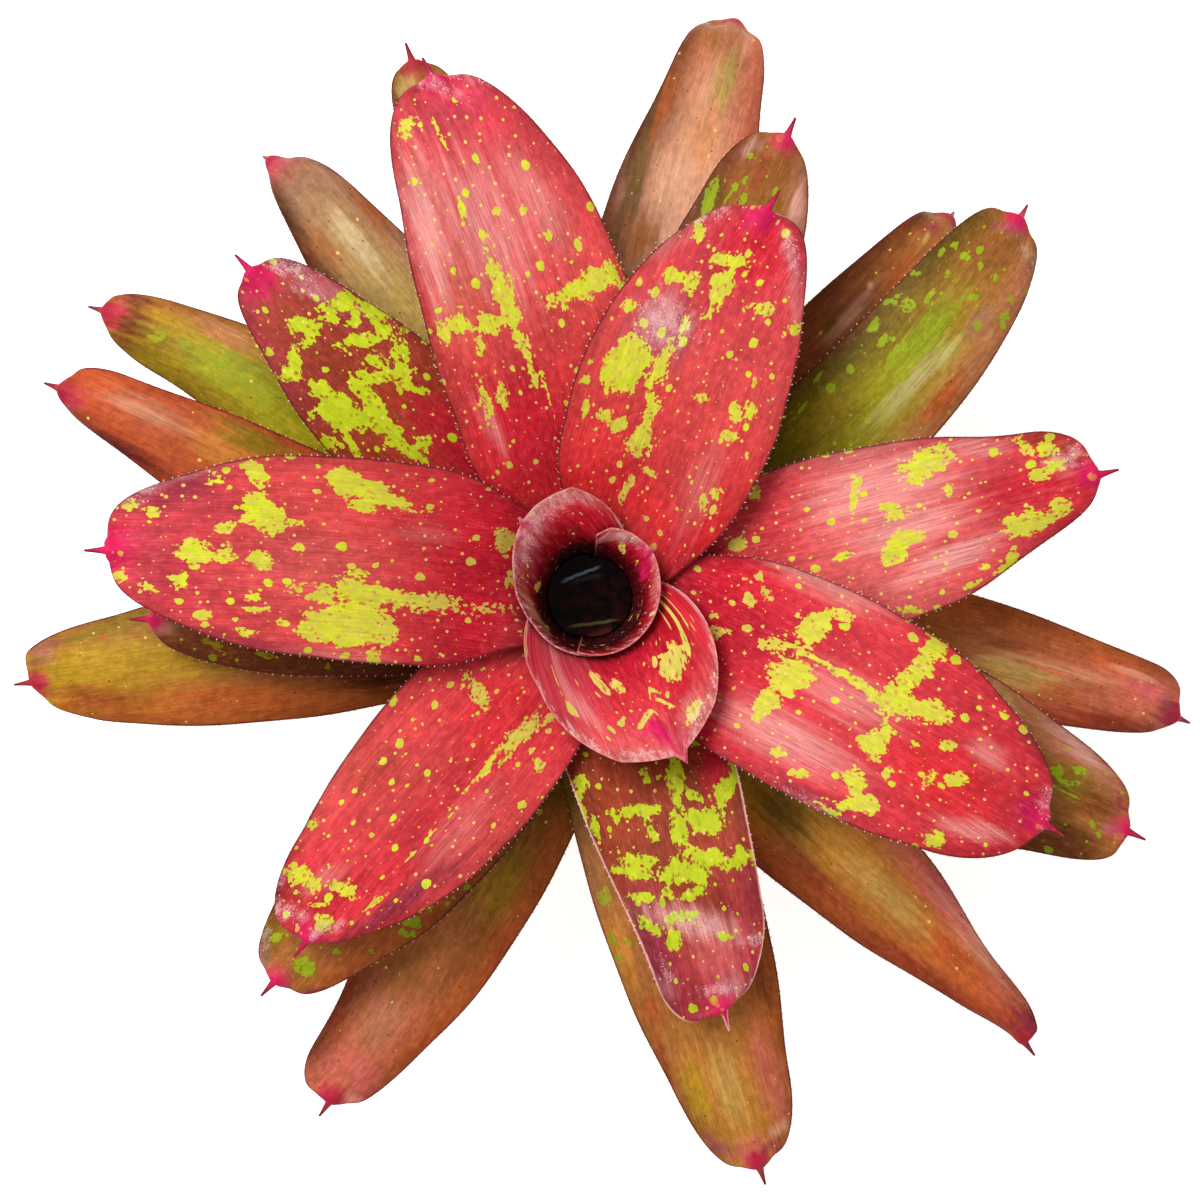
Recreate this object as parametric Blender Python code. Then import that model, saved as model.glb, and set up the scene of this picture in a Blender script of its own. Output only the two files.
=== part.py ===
"""A neoregelia bromeliad: a rosette of 27 leaves round a tank of water, on the cut base of its stem.

Metres, +Z up. The origin is the centre of the stem's flat cut, on which the plant stands. Each leaf lies on
a turned surface of its own: a bowl round the stem, a steep sheath wall, a neck and an arching blade. The
surfaces nest one inside the next, so the leaves clear each other. Leaf measures are in millimetres and
degrees.
"""

import math
from collections import namedtuple

import bpy
import numpy as np

MM = 0.001

# Stem and sheaths
STEM_RADIUS = 9.7
STEM_FOOT_RADIUS = 13.0
STEM_FOOT_HEIGHT = 10.6
STEM_TOP = 35.4
STEM_SIDES = 48
LEAF_START_RADIUS = 10.0
BOWL_CENTRE_HEIGHT = 38.0
FIRST_BOWL_RADIUS = 3.0
CUP_PITCH = 1.5
LEAF_PITCH = 0.8
WALL_SLOPE = 84.0
FIRST_WALL = 48.0
WALL_STEP = 1.7
NECK_RADIUS = 14.0
FIRST_RISE = 40.0
RISE_STEP = 0.75
SHEATH_HALF_ANGLE = 51.0
SHEATH_THICKNESS = 0.7
BLADE_THICKNESS = 1.0

# Blades
ARCH_POWER = 1.2
STATIONS = (0.30, 0.50, 0.70, 0.85)
WIDTH_SMOOTHING = 10.0
TURN_ZONE = 30.0
BOSS_HALF_WIDTH = 1.8
SPINE_LENGTH = 8.0
SPINE_HALF_WIDTH = 0.4
CURL_START = 0.86
COURSE_STEP = 0.25

# Facets
BOWL_SLOPES = (0.0, 28.0, 56.0)
NECK_ROWS = (0.35, 0.70)
BLADE_ROWS = (0.0, 0.10, 0.22, 0.36, 0.50, 0.64, 0.76, 0.85, 0.91, 0.95, 0.98, 0.995)
LEAF_COLUMNS = 6
CUP_COLUMNS = 16
CUP_TIP_HALF_ANGLE = 4.0
CUP_ROWS = (0.0, 0.14, 0.30, 0.46, 0.62, 0.80, 1.0)
STEPS_PER_COLUMN = 4

# Water
WATER_CLEARANCE = 0.4
WATER_BOTTOM = 36.2
WATER_TOP = 57.0
WATER_SIDES = 48

RED = (0.56, 0.03, 0.05)
MOTTLED = (0.24, 0.20, 0.03)
ORANGE = (0.55, 0.12, 0.03)
GREEN = (0.28, 0.30, 0.02)
OLIVE = (0.30, 0.22, 0.05)
BROWN = (0.13, 0.05, 0.02)
TAN = (0.35, 0.22, 0.10)

# A blade's heading is its azimuth at the neck, half way and at the tip, anticlockwise from +X. Half widths
# are at STATIONS of the reach. Positive edge drop bends both margins down. A curl turns the tip under.
Blade = namedtuple("Blade", "name heading reach half_widths droop edge_drop wave curl colour")
BLADES = (
    Blade("red_leaf_04", (62, 66.5, 65.6), 144, (33, 36.5, 33, 28), -6, 0.5, 0.8, 0, RED),
    Blade("red_leaf_05", (168, 171.5, 174.5), 165, (34, 35, 33, 26), -8, 0.5, 0.8, 0, RED),
    Blade("red_leaf_06", (341, 336.7, 333.4), 172, (34, 36.5, 34.5, 28), -8, 1.0, 0.8, 0, RED),
    Blade("red_leaf_07", (98, 102.6, 107.0), 184, (34, 36, 33, 26.5), -8, 0.5, 0.8, 0, RED),
    Blade("red_leaf_08", (232, 230.6, 230.4), 152, (30, 32, 29, 24), -8, 1.0, 1.0, 0, RED),
    Blade("red_leaf_09", (9, 12, 13.5), 177, (30, 32, 28.5, 21), -6, 2.5, 0.8, 0, RED),
    Blade("red_leaf_10", (137, 137, 136.3), 162, (26, 27.5, 24, 18.5), -10, 1.0, 1.0, 0, RED),
    Blade("red_leaf_11", (289, 289, 287.8), 149, (28, 28, 24, 21), -8, 1.0, 2.0, 0, RED),
    Blade("mottled_leaf_12", (66, 67, 67.0), 172, (26, 26, 23, 19), -12, 2.0, 0.8, 0, MOTTLED),
    Blade("mottled_leaf_13", (182, 182.5, 182.8), 153, (24, 24, 22.5, 18), -14, 2.0, 0.8, 0, MOTTLED),
    Blade("mottled_leaf_14", (337, 337, 336.4), 201, (28, 31, 29, 22), -12, 2.0, 0.8, 0, MOTTLED),
    Blade("outer_leaf_15", (106, 107.5, 108.5), 195, (22, 22, 18, 13), -14, 2.0, 0.8, 0, GREEN),
    Blade("mottled_leaf_16", (232, 231.5, 230.5), 173, (30, 32, 29.5, 22), -14, 2.0, 0.8, 0, MOTTLED),
    Blade("mottled_leaf_17", (25, 34.3, 41.4), 199, (24, 24, 22.5, 20), -14, 2.5, 0.8, 25, MOTTLED),
    Blade("outer_leaf_18", (171, 161.5, 158.6), 200, (21, 20, 17.5, 13.5), -20, 3.0, 0.5, 10, ORANGE),
    Blade("outer_leaf_19", (286, 286, 286.4), 208, (28, 29, 26, 20), -20, 3.0, 0.8, 0, OLIVE),
    Blade("outer_leaf_20", (77, 77, 76.0), 209, (26, 28, 25, 18.5), -20, 3.0, 0.8, 50, BROWN),
    Blade("outer_leaf_21", (189, 189, 188.7), 199, (25, 26.5, 24, 19), -20, 3.0, 0.8, 0, ORANGE),
    Blade("outer_leaf_22", (356, 352.0, 348.4), 211, (20, 21, 19, 16), -20, 2.5, 0.5, 20, BROWN),
    Blade("outer_leaf_23", (123, 124, 126.4), 193, (22, 22, 19, 15), -22, 2.5, 0.5, 40, TAN),
    Blade("outer_leaf_24", (250, 246, 242.6), 201.5, (25, 25.5, 23, 17.5), -22, 3.0, 0.8, 0, ORANGE),
    Blade("outer_leaf_25", (45, 45.5, 46.6), 186, (20, 20, 18, 15.5), -22, 2.5, 0.5, 40, BROWN),
    Blade("outer_leaf_26", (149, 147.3, 149.6), 202, (20, 20, 18, 14), -24, 3.0, 0.5, 10, GREEN),
    Blade("outer_leaf_27", (311, 314.5, 314.2), 221.5, (25, 24, 19.5, 11), -24, 3.0, 0.5, 0, ORANGE),
)

# How each tip rounds off: by what angle it turns, above 0 with the clockwise shoulder foremost, and then for the
# clockwise and the anticlockwise margin, over what length it narrows and its power, from 0 for square up to 1.
TIP_FORMS = {
    "red_leaf_04": (15, (40, 0.3), (60, 0.25)),
    "red_leaf_05": (3, (40, 0.25), (40, 0.3)),
    "red_leaf_06": (15, (30, 0.6), (60, 0.2)),
    "red_leaf_07": (-12, (50, 0.25), (30, 0.35)),
    "red_leaf_08": (21, (25, 0.3), (60, 0.3)),
    "red_leaf_09": (0, (60, 0.35), (20, 0.25)),
    "red_leaf_10": (0, (30, 0.3), (50, 0.25)),
    "red_leaf_11": (18, (15, 0.25), (30, 0.25)),
    "mottled_leaf_12": (-3, (35, 0.4), (25, 0.3)),
    "mottled_leaf_13": (-10, (30, 0.35), (35, 0.4)),
    "mottled_leaf_14": (12, (50, 0.25), (40, 0.2)),
    "outer_leaf_15": (-9, (20, 0.25), (20, 0.25)),
    "mottled_leaf_16": (3, (60, 0.25), (45, 0.25)),
    "mottled_leaf_17": (-3, (60, 0.2), (40, 0.25)),
    "outer_leaf_18": (-6, (20, 0.2), (60, 0.35)),
    "outer_leaf_19": (3, (35, 0.3), (30, 0.3)),
    "outer_leaf_20": (-15, (60, 0.2), (60, 0.2)),
    "outer_leaf_21": (21, (30, 0.2), (50, 0.2)),
    "outer_leaf_22": (-6, (60, 0.35), (15, 0.2)),
    "outer_leaf_23": (0, (35, 0.5), (60, 0.6)),
    "outer_leaf_24": (15, (15, 0.25), (60, 0.2)),
    "outer_leaf_25": (0, (30, 0.35), (60, 0.25)),
    "outer_leaf_26": (15, (60, 0.2), (30, 0.25)),
    "outer_leaf_27": (-21, (45, 0.9), (15, 0.2)),
}

# A cup leaf's rim runs from one margin to the other as pairs of azimuth and distance from the axis. Its tip
# is a point at one azimuth, this much longer than the rim.
Cup = namedtuple("Cup", "name rim tip rise droop colour")
CUPS = (
    Cup(
        "cup_leaf_01",
        (
            (-105, 20), (-69, 21), (-37, 22), (-4, 23.5), (20, 25),
            (38, 26.5), (60, 26), (74, 25), (86, 21.5),
        ),
        (38, 2.0),
        58,
        40,
        RED,
    ),
    Cup(
        "cup_leaf_02",
        (
            (62, 25), (83, 33), (100, 38.5), (122, 37), (135, 35),
            (163, 28.5), (190, 24.5), (207, 22.5), (250, 21), (282, 20.5),
        ),
        (133, 2.0),
        52,
        28,
        RED,
    ),
    Cup(
        "cup_leaf_03",
        (
            (198, 23.5), (211, 27.5), (225, 32), (240, 36.5), (258, 46), (280, 57.5),
            (300, 62), (320, 55.5), (340, 45), (0, 33.5), (14, 24),
        ),
        (300, 4.5),
        46,
        26,
        RED,
    ),
)


def smooth(x):
    """Rises from 0 to 1 with flat ends while x goes from 0 to 1."""
    x = np.clip(x, 0.0, 1.0)
    return x * x * (3.0 - 2.0 * x)


def sheath_offset(order):
    """How far the leaf of this order lies outside the innermost one."""
    cups = len(CUPS)
    return CUP_PITCH * min(order, cups) + LEAF_PITCH * max(0, order - cups)


class Course:
    """The section that is turned round the plant's axis to give one leaf's surface, from stem to tip."""

    def __init__(self, order, rise, droop, curl, reach, overrun=SPINE_LENGTH):
        bowl = FIRST_BOWL_RADIUS + sheath_offset(order)
        self.bowl_end = bowl * math.radians(WALL_SLOPE)
        self.wall_end = self.bowl_end + FIRST_WALL - WALL_STEP * order
        self.neck_end = self.wall_end + NECK_RADIUS * math.radians(WALL_SLOPE - rise)
        share = np.linspace(0.0, 1.0, 201)
        slopes = self.blade_slope(share, rise, droop, curl)
        sheath_radius = LEAF_START_RADIUS + bowl * math.sin(math.radians(WALL_SLOPE))
        sheath_radius += (self.wall_end - self.bowl_end) * math.cos(math.radians(WALL_SLOPE))
        turn = math.sin(math.radians(WALL_SLOPE)) - math.sin(math.radians(rise))
        self.neck_radius = sheath_radius + NECK_RADIUS * turn
        self.tip = self.neck_end + (reach - self.neck_radius) / np.cos(np.radians(slopes)).mean()
        self.distance = np.arange(0.0, self.tip + overrun + 40.0, COURSE_STEP)
        s = self.distance
        slope = np.degrees(s / bowl)
        slope = np.where(s > self.bowl_end, WALL_SLOPE, slope)
        neck = WALL_SLOPE - np.degrees((s - self.wall_end) / NECK_RADIUS)
        slope = np.where(s > self.wall_end, neck, slope)
        blade = self.blade_slope((s - self.neck_end) / (self.tip - self.neck_end), rise, droop, curl)
        slope = np.where(s > self.neck_end, blade, slope)
        self.slope = np.radians(slope)
        middle = 0.5 * (self.slope[1:] + self.slope[:-1])
        self.radius = LEAF_START_RADIUS + np.append(0.0, np.cumsum(np.cos(middle)) * COURSE_STEP)
        start_height = BOWL_CENTRE_HEIGHT - bowl
        self.height = start_height + np.append(0.0, np.cumsum(np.sin(middle)) * COURSE_STEP)

    @staticmethod
    def blade_slope(share, rise, droop, curl):
        share = np.clip(share, 0.0, 1.0)
        curled = smooth((share - CURL_START) / (1.0 - CURL_START))
        return rise + (droop - rise) * share**ARCH_POWER - curl * curled

    def radius_at(self, s):
        return np.interp(s, self.distance, self.radius)

    def height_at(self, s):
        return np.interp(s, self.distance, self.height)

    def slope_at(self, s):
        return np.interp(s, self.distance, self.slope)

    def distance_at_radius(self, radius):
        """Where the course first reaches a distance from the axis, beyond the neck's start."""
        past = self.distance >= self.wall_end
        return np.interp(radius, self.radius[past], self.distance[past])


def run_across(course, start, azimuth, tilt, half_widths, columns, straightness):
    """Follows each row sideways over the turned surface, from the blade's middle to one margin and the other.

    The row starts square to the blade's middle line. Straightness 1 keeps it straight on the surface, and
    0 keeps it level. The result is each point's place along the course and its azimuth, with one row of the
    arrays for each row of the leaf.
    """
    half = columns // 2
    places = np.zeros((len(start), columns + 1))
    turns = np.zeros((len(start), columns + 1))
    places[:, half] = start
    turns[:, half] = azimuth
    for side, half_width in zip((-1, 1), half_widths):
        s = start.copy()
        turn = azimuth.copy()
        bearing = tilt + side * math.pi / 2
        step = half_width / (half * STEPS_PER_COLUMN)
        for column in range(1, half + 1):
            for _ in range(STEPS_PER_COLUMN):
                radius = course.radius_at(s)
                closing = np.cos(course.slope_at(s)) * straightness
                middle = bearing - 0.5 * step * np.sin(bearing) * closing / radius
                s = s + step * np.cos(middle)
                turn = turn + step * np.sin(middle) / radius
                bearing = bearing - step * np.sin(middle) * closing / radius
            places[:, half + side * column] = s
            turns[:, half + side * column] = turn
    return places, turns


def heading_at(share, heading):
    """The middle line's azimuth, on the parabola through the three headings."""
    first, middle, last = heading
    share = np.clip(share, 0.0, 1.05)
    return (
        first * 2.0 * (share - 0.5) * (share - 1.0)
        - middle * 4.0 * share * (share - 1.0)
        + last * 2.0 * share * (share - 0.5)
    )


def blade_half_width(course, s, blade, side):
    """The half width towards one margin at each place along the middle line, from the sheath to the spine."""
    stations = [course.distance_at_radius(share * blade.reach) for share in STATIONS]
    sheath = course.radius_at(s) * math.radians(SHEATH_HALF_ANGLE)
    wall_top = float(course.radius_at(course.wall_end)) * math.radians(SHEATH_HALF_ANGLE)
    places = [course.wall_end, *stations, course.tip]
    widths = [wall_top, *blade.half_widths, blade.half_widths[-1] * 0.9]
    window = int(WIDTH_SMOOTHING / COURSE_STEP)
    line = np.pad(np.interp(course.distance, places, widths), window, mode="edge")
    line = np.convolve(line, np.full(2 * window + 1, 1.0 / (2 * window + 1)), mode="valid")
    width = np.where(s < course.wall_end, sheath, np.interp(s, course.distance, line))
    length, power = TIP_FORMS[blade.name][1 + side]
    left = np.clip((course.tip - s) / length, 0.0, 1.0)
    width = width * np.sin(0.5 * math.pi * left) ** power
    past = np.clip((s - course.tip) / SPINE_LENGTH, 0.0, 1.0)
    spine = BOSS_HALF_WIDTH + (SPINE_HALF_WIDTH - BOSS_HALF_WIDTH) * past**0.6
    return np.hypot(width, spine)


def tip_turn(blade, back):
    """How far the rows near the tip are turned, in radians."""
    return math.radians(TIP_FORMS[blade.name][0]) * smooth(1.0 - back / TURN_ZONE)


def blade_grid(blade, order, columns, rows_in_bowl, neck_rows, blade_rows, spine_rows):
    """The leaf's middle surface, as points by row and column, and each row's share of the blade."""
    rise = FIRST_RISE - RISE_STEP * order
    course = Course(order, rise, blade.droop, blade.curl, blade.reach)
    bowl = FIRST_BOWL_RADIUS + sheath_offset(order)
    s = [bowl * math.radians(slope) for slope in rows_in_bowl]
    s += [course.bowl_end, course.wall_end]
    s += [course.wall_end + share * (course.neck_end - course.wall_end) for share in neck_rows]
    s += [course.neck_end + share * (course.tip - course.neck_end) for share in blade_rows]
    s += [course.tip + share * SPINE_LENGTH for share in spine_rows]
    s = np.array(s)
    share = (s - course.neck_end) / (course.tip - course.neck_end)
    azimuth = np.radians(heading_at(share, blade.heading))
    before = np.radians(heading_at(share - 0.005, blade.heading))
    after = np.radians(heading_at(share + 0.005, blade.heading))
    run = 0.01 * (course.tip - course.neck_end)
    tilt = np.arctan(course.radius_at(s) * (after - before) / run) * smooth(share / 0.15)
    tilt = tilt + tip_turn(blade, course.tip - s)
    half_widths = [blade_half_width(course, s, blade, side) for side in (0, 1)]
    straightness = smooth((s - course.wall_end) / (course.neck_end - course.wall_end))
    places, turns = run_across(course, s, azimuth, tilt, half_widths, columns, straightness)
    across = np.linspace(-1.0, 1.0, columns + 1)[None, :]
    in_blade = smooth(share / 0.3)[:, None]
    ends = in_blade * smooth((1.04 - share) / 0.15)[:, None]
    lift = -blade.edge_drop * across**2 * ends
    ripple = np.sin(2 * math.pi * (2.3 * share[:, None] + 0.37 * order + 0.31 * np.sign(across)))
    lift = lift + blade.wave * np.abs(across) ** 3 * ripple * ends
    return surface_points(course, places, turns, lift), share


def surface_points(course, places, turns, lift):
    radius = course.radius_at(places)
    height = course.height_at(places)
    slope = course.slope_at(places)
    radius = radius - lift * np.sin(slope)
    height = height + lift * np.cos(slope)
    return np.stack([radius * np.cos(turns), radius * np.sin(turns), height], axis=-1)


def cup_grid(cup, order, columns, flare_rows):
    """A cup leaf's middle surface. Each column climbs its own line up the turned surface to the rim."""
    rim_azimuths = np.unwrap(np.radians([azimuth for azimuth, _ in cup.rim]))
    rim_radii = [radius for _, radius in cup.rim]
    course = Course(order, cup.rise, cup.droop, 0.0, max(rim_radii), overrun=0.0)
    tip_azimuth, tip_length = cup.tip
    near_tip = np.radians(tip_azimuth + CUP_TIP_HALF_ANGLE * np.array([-1.0, 0.0, 1.0]))
    even = np.linspace(rim_azimuths[0], rim_azimuths[-1], columns + 1)
    clear_of_tip = np.abs(even - near_tip[1]) > np.radians(CUP_TIP_HALF_ANGLE) * 1.3
    azimuth = np.sort(np.append(even[clear_of_tip], near_tip))
    columns = len(azimuth) - 1
    tip = tip_length * (np.abs(azimuth - near_tip[1]) < 1e-6)
    rim = course.distance_at_radius(np.interp(azimuth, rim_azimuths, rim_radii) + tip)
    bowl = FIRST_BOWL_RADIUS + sheath_offset(order)
    in_bowl = [bowl * math.radians(slope) for slope in BOWL_SLOPES]
    places = [np.full(columns + 1, s) for s in [*in_bowl, course.bowl_end]]
    places += [course.wall_end + share * (rim - course.wall_end) for share in flare_rows]
    places = np.array(places)
    turns = np.broadcast_to(azimuth, places.shape)
    points = surface_points(course, places, turns, np.zeros(places.shape))
    share = (places[:, columns // 2] - course.neck_end) / (course.tip - course.neck_end)
    return points, share


def grid_normals(points):
    along = np.gradient(points, axis=0)
    across = np.gradient(points, axis=1)
    normals = np.cross(along, across)
    return normals / np.linalg.norm(normals, axis=2, keepdims=True)


def add_object(name, mesh, colour, roughness):
    material = bpy.data.materials.new(name)
    material.use_nodes = True
    shader = material.node_tree.nodes["Principled BSDF"]
    shader.inputs["Base Color"].default_value = (*colour, 1.0)
    shader.inputs["Roughness"].default_value = roughness
    shader.inputs["Metallic"].default_value = 0.0
    mesh.materials.append(material)
    obj = bpy.data.objects.new(name, mesh)
    bpy.context.scene.collection.objects.link(obj)
    return obj


def add_leaf(name, points, thickness, colour):
    """Closes a leaf round its middle surface. Both faces are split into triangles the same way."""
    normals = grid_normals(points)
    half = 0.5 * thickness[:, None, None] * normals
    upper = points + half
    lower = points - half
    rows, columns = points.shape[:2]
    vertices = np.concatenate([upper.reshape(-1, 3), lower.reshape(-1, 3)]) * MM
    count = rows * columns
    faces = []
    for row in range(rows - 1):
        for column in range(columns - 1):
            a = row * columns + column
            b = a + 1
            c = a + columns + 1
            d = a + columns
            faces += [(a, d, c), (a, c, b)]
            faces += [(count + a, count + c, count + d), (count + a, count + b, count + c)]
    rim = [column for column in range(columns)]
    rim += [row * columns + columns - 1 for row in range(1, rows)]
    rim += [(rows - 1) * columns + column for column in range(columns - 2, -1, -1)]
    rim += [row * columns for row in range(rows - 2, 0, -1)]
    for first, second in zip(rim, rim[1:] + rim[:1]):
        faces += [(first, second, count + second), (first, count + second, count + first)]
    mesh = bpy.data.meshes.new(name)
    mesh.from_pydata(vertices.tolist(), [], faces)
    mesh.shade_smooth()
    mesh.set_sharp_from_angle(angle=math.radians(50))
    return add_object(name, mesh, colour, 0.4)


def add_blades():
    for number, blade in enumerate(BLADES):
        order = len(CUPS) + number
        points, share = blade_grid(
            blade, order, LEAF_COLUMNS, BOWL_SLOPES, NECK_ROWS, BLADE_ROWS, (0.0, 1.0)
        )
        thickness = SHEATH_THICKNESS + (BLADE_THICKNESS - SHEATH_THICKNESS) * smooth(share / 0.3)
        add_leaf(blade.name, points, thickness, blade.colour)


def add_cups():
    for order, cup in enumerate(CUPS):
        points, share = cup_grid(cup, order, CUP_COLUMNS, CUP_ROWS)
        add_leaf(cup.name, points, np.full(len(share), SHEATH_THICKNESS), cup.colour)


def turned_mesh(name, profile, sides, widening=None):
    """A solid turned from its profile of (radius, height), closed at the middle of its foot and its top."""
    vertices = [(0.0, 0.0, profile[0][1])]
    for radius, height in profile:
        for side in range(sides):
            turn = 2 * math.pi * side / sides
            wide = radius + (widening(turn) if widening else 0.0)
            vertices.append((wide * math.cos(turn), wide * math.sin(turn), height))
    vertices.append((0.0, 0.0, profile[-1][1]))
    faces = []
    last = len(vertices) - 1
    for side in range(sides):
        after = (side + 1) % sides
        faces.append((0, 1 + after, 1 + side))
        for ring in range(len(profile) - 1):
            low = 1 + ring * sides
            high = low + sides
            faces.append((low + side, low + after, high + after, high + side))
        faces.append((last, last - sides + side, last - sides + after))
    mesh = bpy.data.meshes.new(name)
    mesh.from_pydata([(x * MM, y * MM, z * MM) for x, y, z in vertices], [], faces)
    mesh.shade_smooth()
    mesh.set_sharp_from_angle(angle=math.radians(50))
    return mesh


def add_stem():
    foot = STEM_FOOT_RADIUS
    profile = [(foot, 0.0), (foot, 3.0), (foot - 0.7, 3.6), (foot - 0.3, 4.4), (foot - 0.5, 7.0)]
    profile += [(foot - 1.2, 7.6), (foot - 0.9, 8.4), (foot - 1.2, STEM_FOOT_HEIGHT - 0.6)]
    profile += [(STEM_RADIUS, STEM_FOOT_HEIGHT), (STEM_RADIUS, STEM_TOP - 0.8)]
    profile += [(STEM_RADIUS - 1.0, STEM_TOP), (3.0, STEM_TOP + 0.3)]
    add_object("stem", turned_mesh("stem", profile, STEM_SIDES), (0.25, 0.15, 0.07), 0.8)


def add_water():
    """The water in the cup. It fills out over the step where the innermost leaf's margins end."""
    first = np.radians(CUPS[0].rim[0][0])
    last = np.radians(CUPS[0].rim[-1][0])
    open_middle = 0.5 * (first + last) + math.pi
    open_half = math.pi - 0.5 * (last - first)

    def widening(turn):
        away = abs((turn - open_middle + math.pi) % (2 * math.pi) - math.pi)
        return (CUP_PITCH - 0.1) * float(smooth((open_half - math.radians(6) - away) / math.radians(10)))

    wall = 0.5 * SHEATH_THICKNESS + WATER_CLEARANCE
    bowl = FIRST_BOWL_RADIUS - wall
    profile = [(LEAF_START_RADIUS - 1.0, WATER_BOTTOM)]
    for slope in (30.0, 60.0, WALL_SLOPE):
        turn = math.radians(slope)
        height = BOWL_CENTRE_HEIGHT - bowl * math.cos(turn)
        profile.append((LEAF_START_RADIUS + bowl * math.sin(turn) - 0.1, height))
    climb = WATER_TOP - profile[-1][1]
    profile.append((profile[-1][0] + climb / math.tan(math.radians(WALL_SLOPE)), WATER_TOP))
    mesh = turned_mesh("tank_water", profile, WATER_SIDES, widening)
    obj = add_object("tank_water", mesh, (0.10, 0.06, 0.03), 0.05)
    obj.active_material.node_tree.nodes["Principled BSDF"].inputs["IOR"].default_value = 1.33


def main():
    for obj in list(bpy.data.objects):
        bpy.data.objects.remove(obj, do_unlink=True)
    add_stem()
    add_water()
    add_cups()
    add_blades()


main()
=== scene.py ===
"""The looks of a neoregelia bromeliad: its leaves with their markings, the water, the floor, the light.

Lengths are in millimetres and angles in degrees. Each leaf follows the turned surface that its solid in the
frame lies on, on a finer grid. Azimuths run anticlockwise from +X, seen from above. A place on a leaf is how
far back from the tip it lies, and how far across from the middle line towards the anticlockwise margin.
"""

import math
from collections import namedtuple

import bpy
import numpy as np
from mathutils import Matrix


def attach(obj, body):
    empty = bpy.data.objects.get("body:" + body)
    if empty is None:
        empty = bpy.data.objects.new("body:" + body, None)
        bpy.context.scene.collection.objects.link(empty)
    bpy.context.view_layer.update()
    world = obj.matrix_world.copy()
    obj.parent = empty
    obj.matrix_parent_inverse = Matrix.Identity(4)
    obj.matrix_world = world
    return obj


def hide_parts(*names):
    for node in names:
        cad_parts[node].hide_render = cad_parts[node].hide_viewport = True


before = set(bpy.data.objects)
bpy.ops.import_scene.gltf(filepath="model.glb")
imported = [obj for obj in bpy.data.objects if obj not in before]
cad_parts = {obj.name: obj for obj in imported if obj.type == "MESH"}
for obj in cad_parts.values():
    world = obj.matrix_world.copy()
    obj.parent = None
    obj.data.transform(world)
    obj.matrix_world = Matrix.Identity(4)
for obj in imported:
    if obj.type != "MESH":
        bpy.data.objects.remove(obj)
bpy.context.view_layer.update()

MM = 0.001

# The stage, in metres
FLOOR_HALF_SIZE = 3.0
LAMP_SIZE = 1.1
LAMP_PLACE = (-0.75, 0.65, 1.5)
CAMERA_PLACE = (0.0029, -0.0011, 1.5)

# The turned surfaces, as in the solids
LEAF_START_RADIUS = 10.0
BOWL_CENTRE_HEIGHT = 38.0
FIRST_BOWL_RADIUS = 3.0
CUP_PITCH = 1.5
LEAF_PITCH = 0.8
WALL_SLOPE = 84.0
FIRST_WALL = 48.0
WALL_STEP = 1.7
NECK_RADIUS = 14.0
FIRST_RISE = 40.0
RISE_STEP = 0.75
SHEATH_HALF_ANGLE = 51.0
SHEATH_THICKNESS = 0.7
BLADE_THICKNESS = 1.0
ARCH_POWER = 1.2
STATIONS = (0.30, 0.50, 0.70, 0.85)
WIDTH_SMOOTHING = 10.0
TURN_ZONE = 30.0
BOSS_HALF_WIDTH = 1.8
SPINE_LENGTH = 8.0
SPINE_HALF_WIDTH = 0.4
CURL_START = 0.86
COURSE_STEP = 0.25
COURSE_OVERRUN = 40.0
SLOPE_SAMPLES = 201
HEADING_STEP = 0.005

# The finer grid
LEAF_COLUMNS = 44
STEPS_PER_COLUMN = 2
BOWL_ROWS = 8
WALL_ROWS = 8
NECK_ROWS = 10
BLADE_ROW_SPACING = 1.7
TIP_ROWS = 36
TIP_ZONE = 30.0
SPINE_ROWS = 9
CUP_COLUMNS = 150
CUP_FLARE_ROWS = 70
CUP_TIP_HALF_ANGLE = 2.4
CUP_TIP_COLUMNS = 13
CUP_KNOB_HEIGHT = 1.6
CUP_KNOB_BACK = 12.0
CUP_RIDGE_HALF_WIDTH = 0.9
CUP_DOME_HALF_WIDTH = 3.5
CUP_DOME_HALF_LENGTH = 5.0
LONGEST_CUP_TIP = 4.5
CUP_EDGE_ROUNDING = 0.35
RIM_THICKNESS = 0.22

# Details that only the fine leaves have
KEEL_HEIGHT = 1.4
KEEL_HALF_WIDTH = 2.8
KEEL_LENGTH = 15.0
PUCKER_DEPTH = 1.2
PUCKER_ASIDE = 6.0
PUCKER_HALF_WIDTH = 3.0
TIP_SINK = 0.8
TOOTH_SPACING = 3.0
TOOTH_LENGTH = 0.6
TOOTH_HALF_WIDTH = 0.36
TOOTH_LEAN = 0.45
TOOTH_ROOT = 0.25
TEETH_STOP = 9.0
SMALL_MARK = 5.0
DEEPEST_MARK = 8.0
# Where along the blade the sheath's colour, painted shade deep in the rosette, and the ramp's three colours
# stand
RAMP_STOPS = (-0.4, 0.1, 0.5, 0.9)


def shade(red, green, blue):
    """A colour as it looks on a screen, from 0 to 255, as the linear values that the materials take."""
    screen = np.array([red, green, blue]) / 255.0
    linear = np.where(screen <= 0.04045, screen / 12.92, ((screen + 0.055) / 1.055) ** 2.4)
    return tuple(float(value) for value in linear)


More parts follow.
